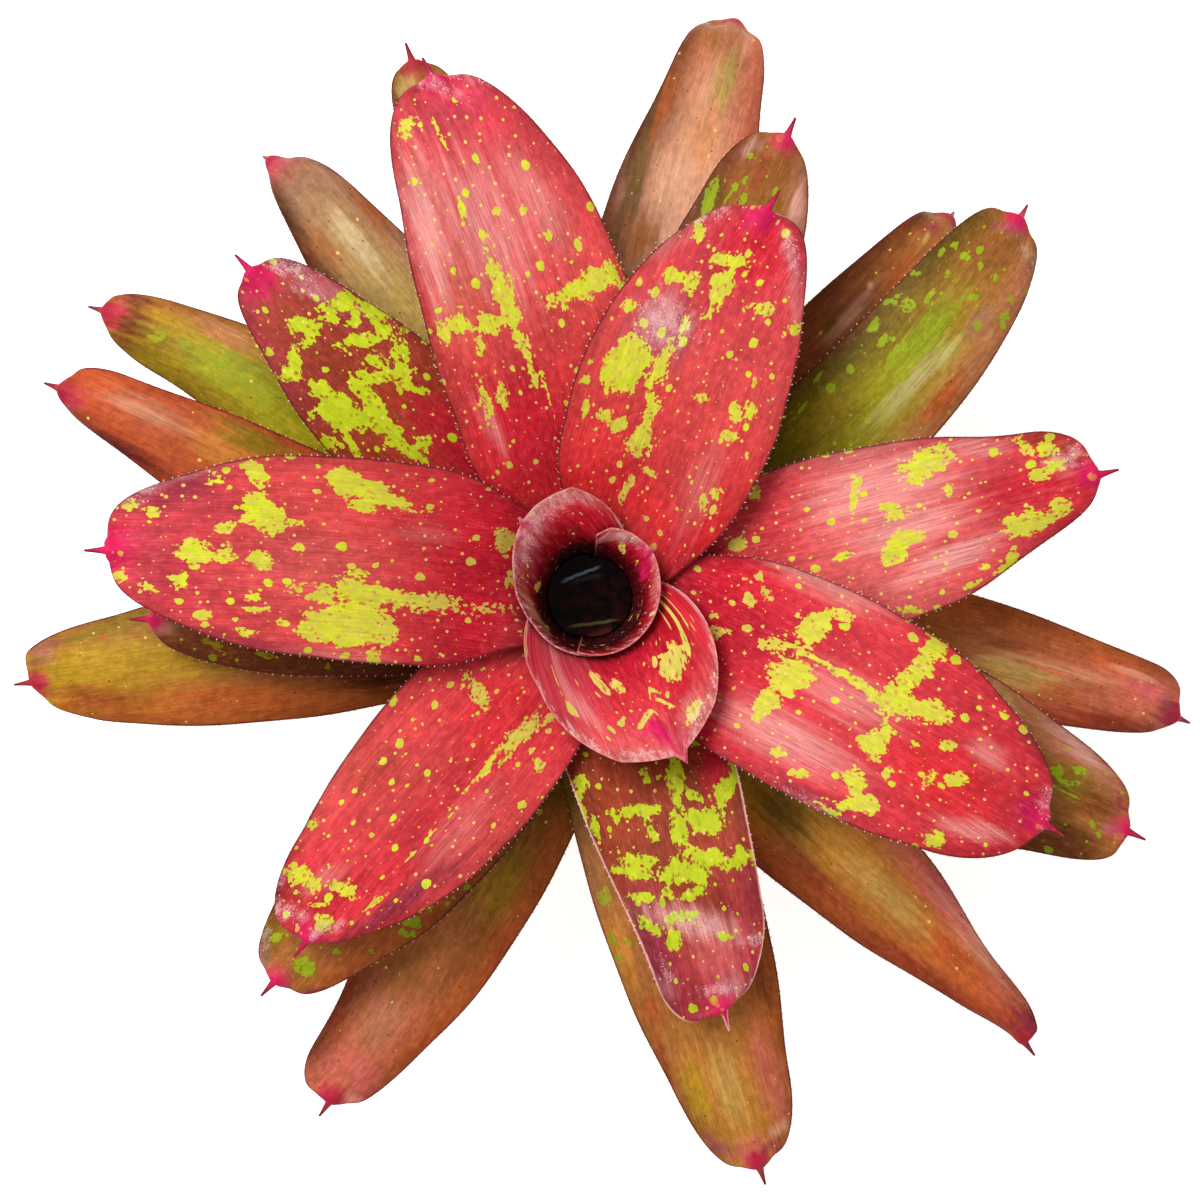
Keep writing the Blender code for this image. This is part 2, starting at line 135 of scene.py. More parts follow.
CRIMSON = shade(196, 26, 46)
RED = shade(208, 50, 60)
ROSE = shade(214, 96, 94)
DEEP_RED = shade(150, 12, 28)
MAROON = shade(92, 24, 24)
MAGENTA = shade(206, 24, 84)
PALE_PINK = shade(240, 176, 168)
LIME_YELLOW = shade(214, 216, 48)
LIME = shade(182, 196, 26)
PALE_LIME = shade(204, 194, 84)
TAN_YELLOW = shade(208, 176, 88)
CREAM = shade(236, 208, 104)
OLIVE = shade(136, 110, 14)
GREEN = shade(146, 138, 16)
DARK_OLIVE = shade(98, 74, 12)
BURNT_ORANGE = shade(172, 84, 34)
SALMON = shade(216, 142, 92)
GOLD = shade(198, 130, 50)
BROWN = shade(120, 60, 26)
DARK_BROWN = shade(84, 40, 12)
TAUPE = shade(160, 112, 84)
PINK_RED = shade(204, 54, 78)
CORAL = shade(212, 72, 70)
BRIGHT_RED = shade(214, 40, 46)
DULL_RED = shade(168, 50, 62)
DULL_ROSE = shade(170, 82, 92)
PLUM = shade(146, 44, 62)
DARK_MAROON = shade(108, 34, 24)
# Painted shade deep in the cup, the cups' sheath colour
PAINTED_CUP_SHADE = shade(62, 6, 12)
RED_BROWN = shade(150, 58, 32)
RED_ORANGE = shade(188, 80, 42)
SALMON_RED = shade(202, 104, 78)
SALMON_BROWN = shade(184, 112, 76)
PALE_SALMON = shade(226, 168, 134)
PALE_GOLD = shade(206, 156, 78)
OLIVE_GOLD = shade(172, 132, 26)
TAN_BROWN = shade(162, 98, 46)
CHOCOLATE = shade(104, 48, 14)
MAUVE = shade(170, 118, 96)
KHAKI = shade(178, 148, 78)
PALE_KHAKI = shade(214, 204, 156)
PALE_GREEN = shade(176, 186, 96)
LIME_OLIVE = shade(148, 158, 28)
DIM_LIME = shade(154, 172, 28)
SILVER = shade(222, 212, 196)
PEARL = shade(240, 214, 214)
SOFT_RED = shade(204, 60, 70)
WINE = shade(160, 26, 52)

# A blade's heading is its azimuth at the neck, half way and at the tip. Half widths are at STATIONS of the
# reach. Positive edge drop bends both margins down. A curl turns the tip under.
Blade = namedtuple("Blade", "name slot heading reach half_widths droop edge_drop wave curl")
BLADES = (
    Blade("red_leaf_04", "red_leaf", (62, 66.5, 65.6), 144, (33, 36.5, 33, 28), -6, 0.5, 0.8, 0),
    Blade("red_leaf_05", "red_leaf", (168, 171.5, 174.5), 165, (34, 35, 33, 26), -8, 0.5, 0.8, 0),
    Blade("red_leaf_06", "red_leaf", (341, 336.7, 333.4), 172, (34, 36.5, 34.5, 28), -8, 1.0, 0.8, 0),
    Blade("red_leaf_07", "red_leaf", (98, 102.6, 107.0), 184, (34, 36, 33, 26.5), -8, 0.5, 0.8, 0),
    Blade("red_leaf_08", "red_leaf", (232, 230.6, 230.4), 152, (30, 32, 29, 24), -8, 1.0, 1.0, 0),
    Blade("red_leaf_09", "red_leaf", (9, 12, 13.5), 177, (30, 32, 28.5, 21), -6, 2.5, 0.8, 0),
    Blade("red_leaf_10", "red_leaf", (137, 137, 136.3), 162, (26, 27.5, 24, 18.5), -10, 1.0, 1.0, 0),
    Blade("red_leaf_11", "red_leaf", (289, 289, 287.8), 149, (28, 28, 24, 21), -8, 1.0, 2.0, 0),
    Blade("mottled_leaf_12", "mottled_leaf", (66, 67, 67.0), 172, (26, 26, 23, 19), -12, 2.0, 0.8, 0),
    Blade("mottled_leaf_13", "mottled_leaf", (182, 182.5, 182.8), 153, (24, 24, 22.5, 18), -14, 2.0, 0.8, 0),
    Blade("mottled_leaf_14", "mottled_leaf", (337, 337, 336.4), 201, (28, 31, 29, 22), -12, 2.0, 0.8, 0),
    Blade("outer_leaf_15", "green_leaf", (106, 107.5, 108.5), 195, (22, 22, 18, 13), -14, 2.0, 0.8, 0),
    Blade("mottled_leaf_16", "mottled_leaf", (232, 231.5, 230.5), 173, (30, 32, 29.5, 22), -14, 2.0, 0.8, 0),
    Blade("mottled_leaf_17", "mottled_leaf", (25, 34.3, 41.4), 199, (24, 24, 22.5, 20), -14, 2.5, 0.8, 25),
    Blade("outer_leaf_18", "orange_leaf", (171, 161.5, 158.6), 200, (21, 20, 17.5, 13.5), -20, 3.0, 0.5, 10),
    Blade("outer_leaf_19", "orange_leaf", (286, 286, 286.4), 208, (28, 29, 26, 20), -20, 3.0, 0.8, 0),
    Blade("outer_leaf_20", "brown_leaf", (77, 77, 76.0), 209, (26, 28, 25, 18.5), -20, 3.0, 0.8, 50),
    Blade("outer_leaf_21", "orange_leaf", (189, 189, 188.7), 199, (25, 26.5, 24, 19), -20, 3.0, 0.8, 0),
    Blade("outer_leaf_22", "brown_leaf", (356, 352.0, 348.4), 211, (20, 21, 19, 16), -20, 2.5, 0.5, 20),
    Blade("outer_leaf_23", "brown_leaf", (123, 124, 126.4), 193, (22, 22, 19, 15), -22, 2.5, 0.5, 40),
    Blade("outer_leaf_24", "orange_leaf", (250, 246, 242.6), 201.5, (25, 25.5, 23, 17.5), -22, 3.0, 0.8, 0),
    Blade("outer_leaf_25", "brown_leaf", (45, 45.5, 46.6), 186, (20, 20, 18, 15.5), -22, 2.5, 0.5, 40),
    Blade("outer_leaf_26", "green_leaf", (149, 147.3, 149.6), 202, (20, 20, 18, 14), -24, 3.0, 0.5, 10),
    Blade("outer_leaf_27", "orange_leaf", (311, 314.5, 314.2), 221.5, (25, 24, 19.5, 11), -24, 3.0, 0.5, 0),
)

# How each tip rounds off: by what angle it turns, above 0 with the clockwise shoulder foremost. Then, for the
# clockwise and the anticlockwise margin, over what length it narrows and its power, from 0 for square to 1.
TIP_FORMS = {
    "red_leaf_04": (15, (40, 0.3), (60, 0.25)),
    "red_leaf_05": (3, (40, 0.25), (40, 0.3)),
    "red_leaf_06": (15, (30, 0.6), (60, 0.2)),
    "red_leaf_07": (-12, (50, 0.25), (30, 0.35)),
    "red_leaf_08": (21, (25, 0.3), (60, 0.3)),
    "red_leaf_09": (0, (60, 0.35), (20, 0.25)),
    "red_leaf_10": (0, (30, 0.3), (50, 0.25)),
    "red_leaf_11": (18, (15, 0.25), (30, 0.25)),
    "mottled_leaf_12": (-3, (35, 0.4), (25, 0.3)),
    "mottled_leaf_13": (-10, (30, 0.35), (35, 0.4)),
    "mottled_leaf_14": (12, (50, 0.25), (40, 0.2)),
    "outer_leaf_15": (-9, (20, 0.25), (20, 0.25)),
    "mottled_leaf_16": (3, (60, 0.25), (45, 0.25)),
    "mottled_leaf_17": (-3, (60, 0.2), (40, 0.25)),
    "outer_leaf_18": (-6, (20, 0.2), (60, 0.35)),
    "outer_leaf_19": (3, (35, 0.3), (30, 0.3)),
    "outer_leaf_20": (-15, (60, 0.2), (60, 0.2)),
    "outer_leaf_21": (21, (30, 0.2), (50, 0.2)),
    "outer_leaf_22": (-6, (60, 0.35), (15, 0.2)),
    "outer_leaf_23": (0, (35, 0.5), (60, 0.6)),
    "outer_leaf_24": (15, (15, 0.25), (60, 0.2)),
    "outer_leaf_25": (0, (30, 0.35), (60, 0.25)),
    "outer_leaf_26": (15, (60, 0.2), (30, 0.25)),
    "outer_leaf_27": (-21, (45, 0.9), (15, 0.2)),
}

# A cup leaf's rim runs from one margin to the other as pairs of azimuth and distance from the axis. Its tip
# is a point at one azimuth, this much longer than the rim.
Cup = namedtuple("Cup", "name rim tip rise droop")
CUPS = (
    Cup(
        "cup_leaf_01",
        (
            (-105, 20), (-69, 21), (-37, 22), (-4, 23.5), (20, 25),
            (38, 26.5), (60, 26), (74, 25), (86, 21.5),
        ),
        (38, 2.0),
        58,
        40,
    ),
    Cup(
        "cup_leaf_02",
        (
            (62, 25), (83, 33), (100, 38.5), (122, 37), (135, 35),
            (163, 28.5), (190, 24.5), (207, 22.5), (250, 21), (282, 20.5),
        ),
        (133, 2.0),
        52,
        28,
    ),
    Cup(
        "cup_leaf_03",
        (
            (198, 23.5), (211, 27.5), (225, 32), (240, 36.5), (258, 46), (280, 57.5),
            (300, 62), (320, 55.5), (340, 45), (0, 33.5), (14, 24),
        ),
        (300, 4.5),
        46,
        26,
    ),
)

# Streaks on the water: the middle and turn of each, half its length and width, its colour and strength. The
# pale blue streak and the olive one are painted reflections of lights, the brown one is film with droplets,
# and the grey one lies beside the pale blue one.
WaterStreak = namedtuple("WaterStreak", "x y turn reach width colour strength")
WATER_GLINTS_AND_FILMS = (
    WaterStreak(-4.0, 8.2, 22, 8.5, 0.8, shade(150, 170, 190), 0.8),
    WaterStreak(-2.0, 6.6, 14, 7.0, 1.4, shade(60, 50, 56), 0.7),
    WaterStreak(0.5, -9.4, 8, 10.0, 0.8, shade(104, 96, 60), 0.7),
    WaterStreak(3.0, -13.0, 20, 5.0, 2.4, shade(96, 40, 26), 0.6),
)

# Three kinds of oval lie on a leaf. A mark is a blotch with a ragged edge, a wash is a soft change of colour,
# a few of them painted shadow or painted highlight, and a patch is a soft sheen or scurf. A sheen is partly
# the leaf's own pale streaks and partly painted highlight. Each says how far back from the tip it lies, how
# far across, how long it is along the leaf and how wide. Its lean turns its long axis towards the
# anticlockwise margin on its way to the tip.
Mark = namedtuple("Mark", "back across length width lean", defaults=(0.0,))
Wash = namedtuple("Wash", "back across length width colour strength lean", defaults=(0.0,))
Patch = namedtuple("Patch", "back across length width strength lean", defaults=(0.0,))

# Ramp holds the colours near the cup, half way and near the tip, and flanks those beside the clockwise and
# the anticlockwise margin. Sheath is the darker colour below the neck, painted shade deep in the rosette and
# the cup. The sheen colour is that of the sheens and their painted highlights. Shares are of the cells that
# hold a spot.
Look = namedtuple(
    "Look",
    "ramp marks washes sheens scurfs flanks mark_colour other_mark sheen_colour edge_colour tip_colour "
    "sheath spot_share fleck_share freckle_share ragged fleck_colour",
    defaults=(None, LIME_YELLOW, TAN_YELLOW, PALE_PINK, MAROON, MAGENTA, None, 0.5, 0.75, 0.0, 1.0, CREAM),
)
CUP_RAMP = (DEEP_RED, CRIMSON, ROSE)
CUP = {
    "spot_share": 0.25,
    "fleck_share": 0.6,
    # The sheath colour is painted shade deep in the cup
    "sheath": PAINTED_CUP_SHADE,
    "edge_colour": ROSE,
    "mark_colour": PALE_LIME,
    "other_mark": CREAM,
    "ragged": 0.55,
}
MOTTLED = {
    "spot_share": 0.25,
    "fleck_share": 0.4,
    "freckle_share": 0.08,
    "other_mark": LIME_OLIVE,
    "fleck_colour": DIM_LIME,
    "ragged": 0.7,
}
PLAIN = {
    "spot_share": 0.02,
    "fleck_share": 0.1,
    "freckle_share": 0.2,
    "other_mark": OLIVE_GOLD,
    "sheen_colour": PALE_SALMON,
    "tip_colour": WINE,
    "ragged": 0.8,
}


def dress(ramp, marks=(), washes=(), sheens=(), scurfs=(), **rest):
    """A leaf's look, from plain rows of numbers."""
    return Look(
        ramp,
        [Mark(*mark) for mark in marks],
        [Wash(*wash) for wash in washes],
        [Patch(*patch) for patch in sheens],
        [Patch(*patch) for patch in scurfs],
        **rest,
    )


LOOKS = {
    "cup_leaf_01": dress(
        CUP_RAMP,
        marks=(
            (9, 7, 7, 2, 30), (16, 14, 9, 1, 20), (16, -22, 6, 2, -30),
        ),
        washes=(
            (16, 0, 20, 80, DEEP_RED, 0.7), (4, 12, 8, 16, DULL_ROSE, 0.8),
            (8, -4, 14, 8, MAGENTA, 0.95, 20),
        ),
        sheens=(
            (4, 12, 9, 14, 0.5), (3, -12, 7, 14, 0.4),
        ),
        scurfs=(
            (2, 9, 8, 18, 0.8), (0, -10, 6, 90, 0.6),
        ),
        **CUP,
    ),
    "cup_leaf_02": dress(
        CUP_RAMP,
        marks=(
            (9, 28, 7, 2, -30), (15, 12, 8, 3, 20), (13, 33, 6, 2, 30), (17, 22, 4, 2),
        ),
        washes=(
            (12, -19, 32, 16, CRIMSON, 0.7), (8, 2, 18, 30, DULL_ROSE, 0.5), (20, 0, 12, 50, DEEP_RED, 0.7),
            (5, 22, 8, 24, KHAKI, 0.3), (2, 1, 6, 4, MAGENTA, 0.9),
        ),
        sheens=(
            (4, 2, 10, 26, 0.6), (3, -17, 8, 14, 0.5), (4, 24, 7, 22, 0.3),
        ),
        scurfs=(
            (5, -2, 12, 34, 0.7), (3, -17, 8, 22, 0.7), (0, 4, 7, 120, 0.8),
        ),
        **CUP,
    ),
    "cup_leaf_03": dress(
        (CRIMSON, RED, ROSE),
        marks=(
            (22, 13, 16, 7, 40), (22, 16, 26, 1, 35), (31, -13, 6, 4, 10), (32, -8, 6, 4), (20, -26, 4, 3),
            (9, -28, 5, 2, -45), (27, 2, 12, 1, 25), (15, 23, 6, 3, -65), (17, -5, 12, 2, -45),
            (18, 4, 14, 1, 25), (6, 11, 8, 5, 90), (16, -13, 7, 2, -40),
        ),
        washes=(
            (17, -26, 63, 22, DULL_ROSE, 0.4, -35), (15, 11, 24, 29, CRIMSON, 0.8),
            (12, -6, 24, 20, PINK_RED, 0.6, -15), (11, -3, 17, 12, MAGENTA, 1, 15),
            (23, 20, 45, 26, DEEP_RED, 0.6, 30),
        ),
        sheens=(
            (13, -24, 14, 15, 0.6), (9, 10, 10, 13, 0.5),
        ),
        scurfs=(
            (0, -30, 20, 9, 0.9, -70), (4, 13, 16, 8, 0.7, 75), (0, 0, 8, 130, 0.7),
            (3, -12, 19, 5, 0.8, 85),
        ),
        **CUP,
    ),
    "red_leaf_04": dress(
        (BRIGHT_RED, CORAL, SOFT_RED),
        marks=(
            (17, 16, 7, 3, 25), (20, 1, 13, 5, -70), (30, 1, 19, 6), (33, 16, 11, 4, -85), (33, 11, 6, 5),
            (67, 21, 24, 14, -15), (63, 10, 18, 5), (48, 7, 9, 3, 10), (79, 8, 16, 5), (90, 7, 14, 8, -10),
            (85, 29, 8, 3, 10), (86, 21, 6, 6), (88, 16, 7, 5, -70), (109, 6, 14, 3), (101, 0, 10, 3, 85),
            (31, -15, 8, 4, -65), (33, -27, 5, 4, 25), (66, -24, 6, 5), (68, -19, 6, 5),
            (56, -22, 6, 2, 20), (77, -21, 5, 3, -65), (103, -21, 5, 4, 30), (98, -24, 4, 4),
            (68, -7, 3, 4), (76, 32, 4, 3, -70), (48, 27, 5, 5),
        ),
        washes=(
            (14, -3, 40, 34, CRIMSON, 0.9), (3, 0, 20, 14, MAGENTA, 0.9, -50),
            (51, 15, 40, 32, DULL_ROSE, 0.9), (90, -11, 74, 37, CORAL, 0.5),
            (120, -20, 37, 32, CRIMSON, 0.6), (14, -20, 16, 8, DULL_ROSE, 0.6, 35),
        ),
        sheens=(
            (99, -18, 56, 16, 0.3), (24, -24, 34, 8, 0.4, 30), (24, 24, 26, 12, 0.4, -30),
            (46, 16, 26, 14, 0.5),
        ),
        scurfs=(
            (12, 19, 32, 9, 0.9, -50), (8, -14, 24, 8, 0.7, 45), (49, 13, 23, 29, 0.8),
        ),
    ),
    "red_leaf_05": dress(
        (CRIMSON, CORAL, SOFT_RED),
        marks=(
            (36, -24, 6, 4), (50, -26, 8, 6, -85), (47, -30, 6, 2), (52, -14, 17, 12, -30),
            (15, -13, 6, 3, -20), (8, -15, 4, 4), (30, 1, 12, 8, -10), (40, 2, 8, 6), (27, 9, 11, 4, 60),
            (52, 2, 8, 6), (79, -26, 13, 10, -25), (86, -24, 21, 8, -15), (97, -21, 20, 4, -10),
            (86, -18, 11, 3), (64, -11, 6, 3), (65, -3, 5, 3, -85), (104, 12, 66, 6), (89, 12, 29, 8),
            (84, 24, 35, 13), (85, 18, 22, 9), (94, 32, 8, 3, -75), (51, 15, 7, 3), (51, 19, 8, 2),
            (60, 23, 4, 3), (86, 5, 10, 3), (4, 9, 5, 3), (15, 13, 6, 2, -20), (33, 22, 5, 3),
            (47, 27, 7, 3), (139, -14, 10, 7, -80), (146, -1, 5, 6), (40, -8, 7, 3, 20),
        ),
        washes=(
            (14, 0, 30, 50, DULL_RED, 0.6), (3, -1, 22, 26, MAGENTA, 0.7), (23, -20, 48, 16, PLUM, 0.8, 20),
            (36, -14, 43, 18, DULL_RED, 0.6, 10), (136, -3, 62, 71, CRIMSON, 0.8),
            (73, 3, 80, 39, ROSE, 0.4), (51, 33, 96, 13, PLUM, 0.6, -10),
        ),
        sheens=(
            (23, -25, 50, 6, 0.5, 15), (81, 34, 62, 8, 0.4), (13, 29, 26, 8, 0.6, -50),
            (110, -11, 34, 11, 0.2),
        ),
        scurfs=(
            (13, -20, 23, 8, 0.5, 30), (2, 19, 18, 11, 0.5),
        ),
    ),
    "red_leaf_06": dress(
        (CRIMSON, RED, RED),
        marks=(
            (96, 10, 55, 1), (77, 9, 20, 3), (100, 19, 16, 9, 65), (94, 27, 8, 4, 25), (121, 23, 4, 4),
            (126, 18, 5, 5), (125, 27, 4, 3, -70), (112, 7, 8, 5, 25), (101, 1, 16, 12, 25),
            (104, -9, 19, 7, 80), (132, 3, 8, 5, 20), (64, 10, 13, 10, 30), (63, 20, 31, 7, 80),
            (61, 32, 11, 6, -30), (53, 12, 17, 7, 15), (64, -7, 11, 9), (62, 0, 5, 5),
            (63, -21, 10, 7, -30), (61, -28, 13, 5, 30), (65, -34, 8, 4, 45), (54, -26, 6, 6),
            (55, -13, 4, 4), (42, 5, 4, 4), (33, -3, 9, 4, 45), (41, -7, 4, 4), (51, 0, 4, 3),
            (29, -24, 7, 5, 30), (81, -28, 5, 3, 25), (92, -25, 5, 3, 25), (100, -6, 6, 4, 25),
        ),
        washes=(
            (129, 12, 75, 35, CRIMSON, 0.9, -10), (102, 33, 63, 16, ROSE, 0.8),
            (96, -17, 84, 18, ROSE, 0.6), (39, -4, 67, 34, BRIGHT_RED, 0.8), (6, 1, 16, 20, MAGENTA, 0.9),
            (77, -33, 55, 8, PLUM, 0.7), (20, 23, 30, 10, PLUM, 0.6, -35), (28, 9, 23, 13, ROSE, 0.6),
        ),
        sheens=(
            (103, 34, 58, 10, 0.6), (92, -20, 80, 22, 0.8), (20, -15, 37, 10, 0.8, 20),
            (29, 10, 20, 10, 0.5), (80, 3, 60, 22, 0.6),
        ),
        scurfs=(
            (73, -35, 39, 5, 0.6), (3, 6, 17, 9, 0.5, -60),
        ),
    ),
    "red_leaf_07": dress(
        (BRIGHT_RED, CORAL, SOFT_RED),
        marks=(
            (12, 16, 8, 5, -80), (18, 6, 12, 1), (48, 8, 16, 1), (45, 10, 6, 2), (80, 6, 37, 6),
            (104, 5, 17, 3), (114, 2, 25, 1), (85, 14, 8, 10), (82, 24, 7, 8), (83, 30, 7, 5, -20),
            (83, -22, 27, 8, -80), (82, -31, 9, 5, 25), (63, -15, 4, 4), (92, 19, 4, 3), (112, 23, 12, 4),
            (112, 17, 8, 4),
        ),
        washes=(
            (53, -14, 65, 29, ROSE, 0.6, 10), (12, 0, 28, 40, DULL_RED, 0.7),
            (40, 20, 56, 26, PALE_PINK, 0.4, -10), (70, 20, 60, 22, TAUPE, 0.35, -10),
            (126, 11, 71, 53, CRIMSON, 0.9), (23, 5, 39, 4, DEEP_RED, 0.5),
            (8, -5, 31, 17, PINK_RED, 0.9, 70), (35, 18, 63, 18, ROSE, 0.7, -10),
            (92, 16, 44, 16, CORAL, 0.5),
        ),
        sheens=(
            (52, 24, 79, 13, 0.9, -10), (54, 3, 80, 34, 0.7), (50, -15, 50, 16, 0.5, 10),
            (122, 23, 35, 8, 0.7, 10),
        ),
        scurfs=(
            (2, 1, 33, 7, 0.6, 40), (7, -14, 24, 6, 0.4, 55),
        ),
    ),
    "red_leaf_08": dress(
        (RED, CORAL, RED),
        marks=(
            (105, -10, 12, 5, 80), (104, 11, 22, 6), (89, 9, 14, 2), (61, 9, 43, 1), (115, 15, 7, 2),
            (98, 23, 3, 4), (31, -24, 4, 5), (81, -31, 4, 3), (15, -15, 14, 6, -80), (18, -16, 3, 4),
            (21, -1, 8, 5, -75), (25, 10, 14, 1, -15), (12, -4, 6, 2, -50), (9, 1, 6, 6),
        ),
        washes=(
            (48, -27, 94, 24, CORAL, 0.8), (56, 7, 111, 29, CRIMSON, 0.6), (29, 16, 84, 10, PLUM, 0.9, -15),
            (102, 1, 53, 37, BRIGHT_RED, 0.6), (58, -23, 34, 21, RED_BROWN, 0.4),
            (8, -18, 25, 16, MAROON, 0.6, -50), (1, -3, 12, 13, MAGENTA, 0.9),
            (18, -2, 34, 13, DEEP_RED, 0.6, -20),
        ),
        sheens=(
            (63, 15, 53, 16, 0.3), (19, -9, 26, 10, 0.4, -20), (45, -39, 41, 9, 0.2),
        ),
        scurfs=(
            (2, -13, 23, 10, 0.9, -65), (7, 3, 19, 6, 0.8, -30), (11, -22, 16, 5, 0.6, 40),
        ),
    ),
    "red_leaf_09": dress(
        (RED, ROSE, RED),
        marks=(
            (56, 20, 17, 8), (60, 15, 6, 5, -15), (50, 24, 6, 3, -15), (81, 17, 14, 3, 65),
            (72, -6, 12, 9, 35), (65, -3, 8, 4), (72, 9, 6, 3, -15), (68, 5, 8, 3), (50, 9, 4, 3, -15),
            (91, -4, 9, 3), (26, -9, 17, 7), (15, -7, 7, 6), (15, 13, 9, 5, -15), (13, 7, 7, 6, -15),
            (19, 6, 7, 4, -15), (22, 17, 8, 4, -45), (37, -21, 10, 4, 20), (49, -24, 10, 2, 15),
            (45, -20, 4, 3, -15), (73, -28, 11, 3, -20), (64, -29, 4, 3, -15), (117, 25, 5, 4, -10),
            (128, 9, 6, 5),
        ),
        washes=(
            (30, 3, 57, 18, CRIMSON, 0.7), (12, 14, 26, 13, RED_BROWN, 0.8, -35),
            (2, 1, 16, 11, MAGENTA, 0.9, -15), (112, 17, 46, 45, RED, 0.8), (74, 10, 80, 37, ROSE, 0.8),
            (56, -15, 57, 16, ROSE, 0.7, 10), (29, -3, 31, 13, DEEP_RED, 0.3),
        ),
        sheens=(
            (73, 15, 75, 31, 0.8), (56, -14, 57, 13, 0.9, 10), (36, 20, 34, 10, 0.6, -15),
            (11, 7, 16, 10, 0.6, -15), (66, 0, 60, 20, 0.8),
        ),
        scurfs=(
            (5, 10, 11, 9, 0.7, -15), (9, 8, 24, 8, 0.5, -15),
        ),
    ),
    "red_leaf_10": dress(
        (CRIMSON, RED_BROWN, DULL_RED),
        marks=(
            (30, -14, 13, 6, 65), (26, 1, 7, 7), (30, -1, 14, 4, -75), (31, -9, 7, 5, 45),
            (38, -12, 6, 4, 45), (41, -20, 12, 5, 25), (46, -19, 7, 5, 45), (44, -11, 17, 5, 60),
            (52, -23, 4, 3, 45), (33, 12, 12, 6, -60), (35, 16, 6, 4, 65), (52, -8, 10, 5, 60),
            (56, -17, 7, 5, -15), (60, -13, 11, 4, -30), (65, -9, 6, 5, 45), (58, -6, 19, 4, 60),
            (55, 1, 8, 6, 45), (62, 3, 17, 6, -15), (55, 13, 16, 12, -10), (46, 12, 8, 6, 15),
            (62, 10, 13, 7, 25), (71, 6, 17, 7), (60, 24, 7, 5), (67, 18, 13, 3, -15), (85, 6, 11, 4, 15),
            (85, 1, 5, 5), (71, -12, 5, 4, 25), (50, 21, 4, 3),
        ),
        washes=(
            (26, 2, 68, 37, RED_BROWN, 0.8), (5, 1, 18, 20, MAGENTA, 0.8), (56, -1, 74, 42, RED_BROWN, 0.7),
            (90, -8, 67, 26, CRIMSON, 0.9), (27, -15, 37, 13, DULL_ROSE, 0.5, 15),
            (8, -12, 16, 11, PLUM, 0.6, 45),
        ),
        sheens=(
            (24, -14, 32, 11, 0.3, 15),
        ),
        scurfs=(
            (8, -10, 29, 9, 0.8, 25), (19, -9, 21, 8, 0.4, 25),
        ),
        mark_colour=LIME,
        other_mark=LIME_YELLOW,
    ),
    "red_leaf_11": dress(
        (RED_BROWN, RED_BROWN, DULL_RED),
        marks=(
            (82, 7, 22, 6, -15), (65, 3, 15, 6, -15), (72, 22, 16, 7, -50), (78, 27, 8, 3),
            (64, 12, 13, 9, 60), (73, 11, 7, 3, 40), (75, -10, 18, 4, 75), (74, -17, 4, 3, -20),
            (66, -7, 10, 3), (91, -25, 5, 5), (86, -27, 4, 3, -20), (80, -28, 10, 4), (72, -25, 10, 2),
            (58, -14, 13, 4, 70), (54, -16, 13, 5, 60), (49, 0, 18, 8, 80), (51, 8, 13, 7, 75),
            (47, 18, 13, 5, -85), (41, 0, 8, 4, 90), (44, -8, 5, 3, 75), (45, -17, 10, 3, 70),
            (35, -8, 9, 3, 80), (34, -2, 6, 3, 75), (33, -16, 14, 4, 35), (28, -11, 7, 7),
            (24, 7, 5, 3, 75), (91, 17, 9, 2, 85), (87, -3, 4, 3, 70),
        ),
        washes=(
            (84, -10, 59, 40, RED_BROWN, 0.9, -10), (81, 21, 39, 16, CRIMSON, 0.9, -15),
            (41, -1, 79, 29, RED_BROWN, 0.7), (28, -18, 53, 16, PLUM, 0.9), (18, 2, 34, 24, ROSE, 0.8),
            (5, 0, 21, 15, PINK_RED, 0.6), (40, 19, 36, 10, PLUM, 0.5, -10),
        ),
        sheens=(
            (32, -3, 50, 16, 0.9, 60), (6, 5, 16, 17, 0.5), (12, -18, 17, 8, 0.4, 15),
        ),
        scurfs=(
            (7, 1, 23, 6, 0.7, 85), (18, -16, 16, 5, 0.5, 15), (20, 16, 16, 5, 0.6, 85),
            (32, -3, 32, 11, 0.5, 60),
        ),
        mark_colour=LIME,
        other_mark=LIME_YELLOW,
        edge_colour=PALE_PINK,
    ),
    "mottled_leaf_12": dress(
        (DARK_OLIVE, OLIVE, TAN_BROWN),
        marks=(
            (20, 7, 3, 2), (30, 16, 13, 4), (26, 10, 10, 1, -10), (26, 5, 5, 2), (19, -4, 4, 2),
        ),
        washes=(
            (29, 15, 18, 10, DARK_OLIVE, 0.9), (15, 3, 23, 7, RED_BROWN, 0.7),
            # (21, -13, 19, 7, PALE_SALMON, 0.7, 15) and the sheen there are a painted highlight
            (7, 9, 14, 7, TAUPE, 0.9, -25), (21, -13, 19, 7, PALE_SALMON, 0.7, 15),
            (9, -9, 10, 5, TAUPE, 0.7, 15), (3, 1, 6, 7, PINK_RED, 0.7),
        ),
        sheens=(
            (21, -13, 26, 10, 0.8, 15), (9, 11, 13, 5, 0.5, -15),
        ),
        flanks=(SALMON_BROWN, BROWN),
        **MOTTLED,
        mark_colour=DIM_LIME,
    ),
    "mottled_leaf_13": dress(
        (DARK_BROWN, CHOCOLATE, BROWN),
        marks=(
            (19, 9, 5, 2, -15), (23, 11, 3, 3), (24, 13, 4, 2, -25), (40, 15, 7, 2, -20),
            (61, 20, 3, 2, 85),
        ),
        washes=(
            (4, 3, 16, 9, TAUPE, 0.8, -25), (1, 1, 11, 7, PLUM, 0.8, 90),
        ),
        sheens=(
            (1, 4, 7, 6, 0.4),
        ),
        flanks=(BROWN, CHOCOLATE),
        **MOTTLED,
        mark_colour=OLIVE,
    ),
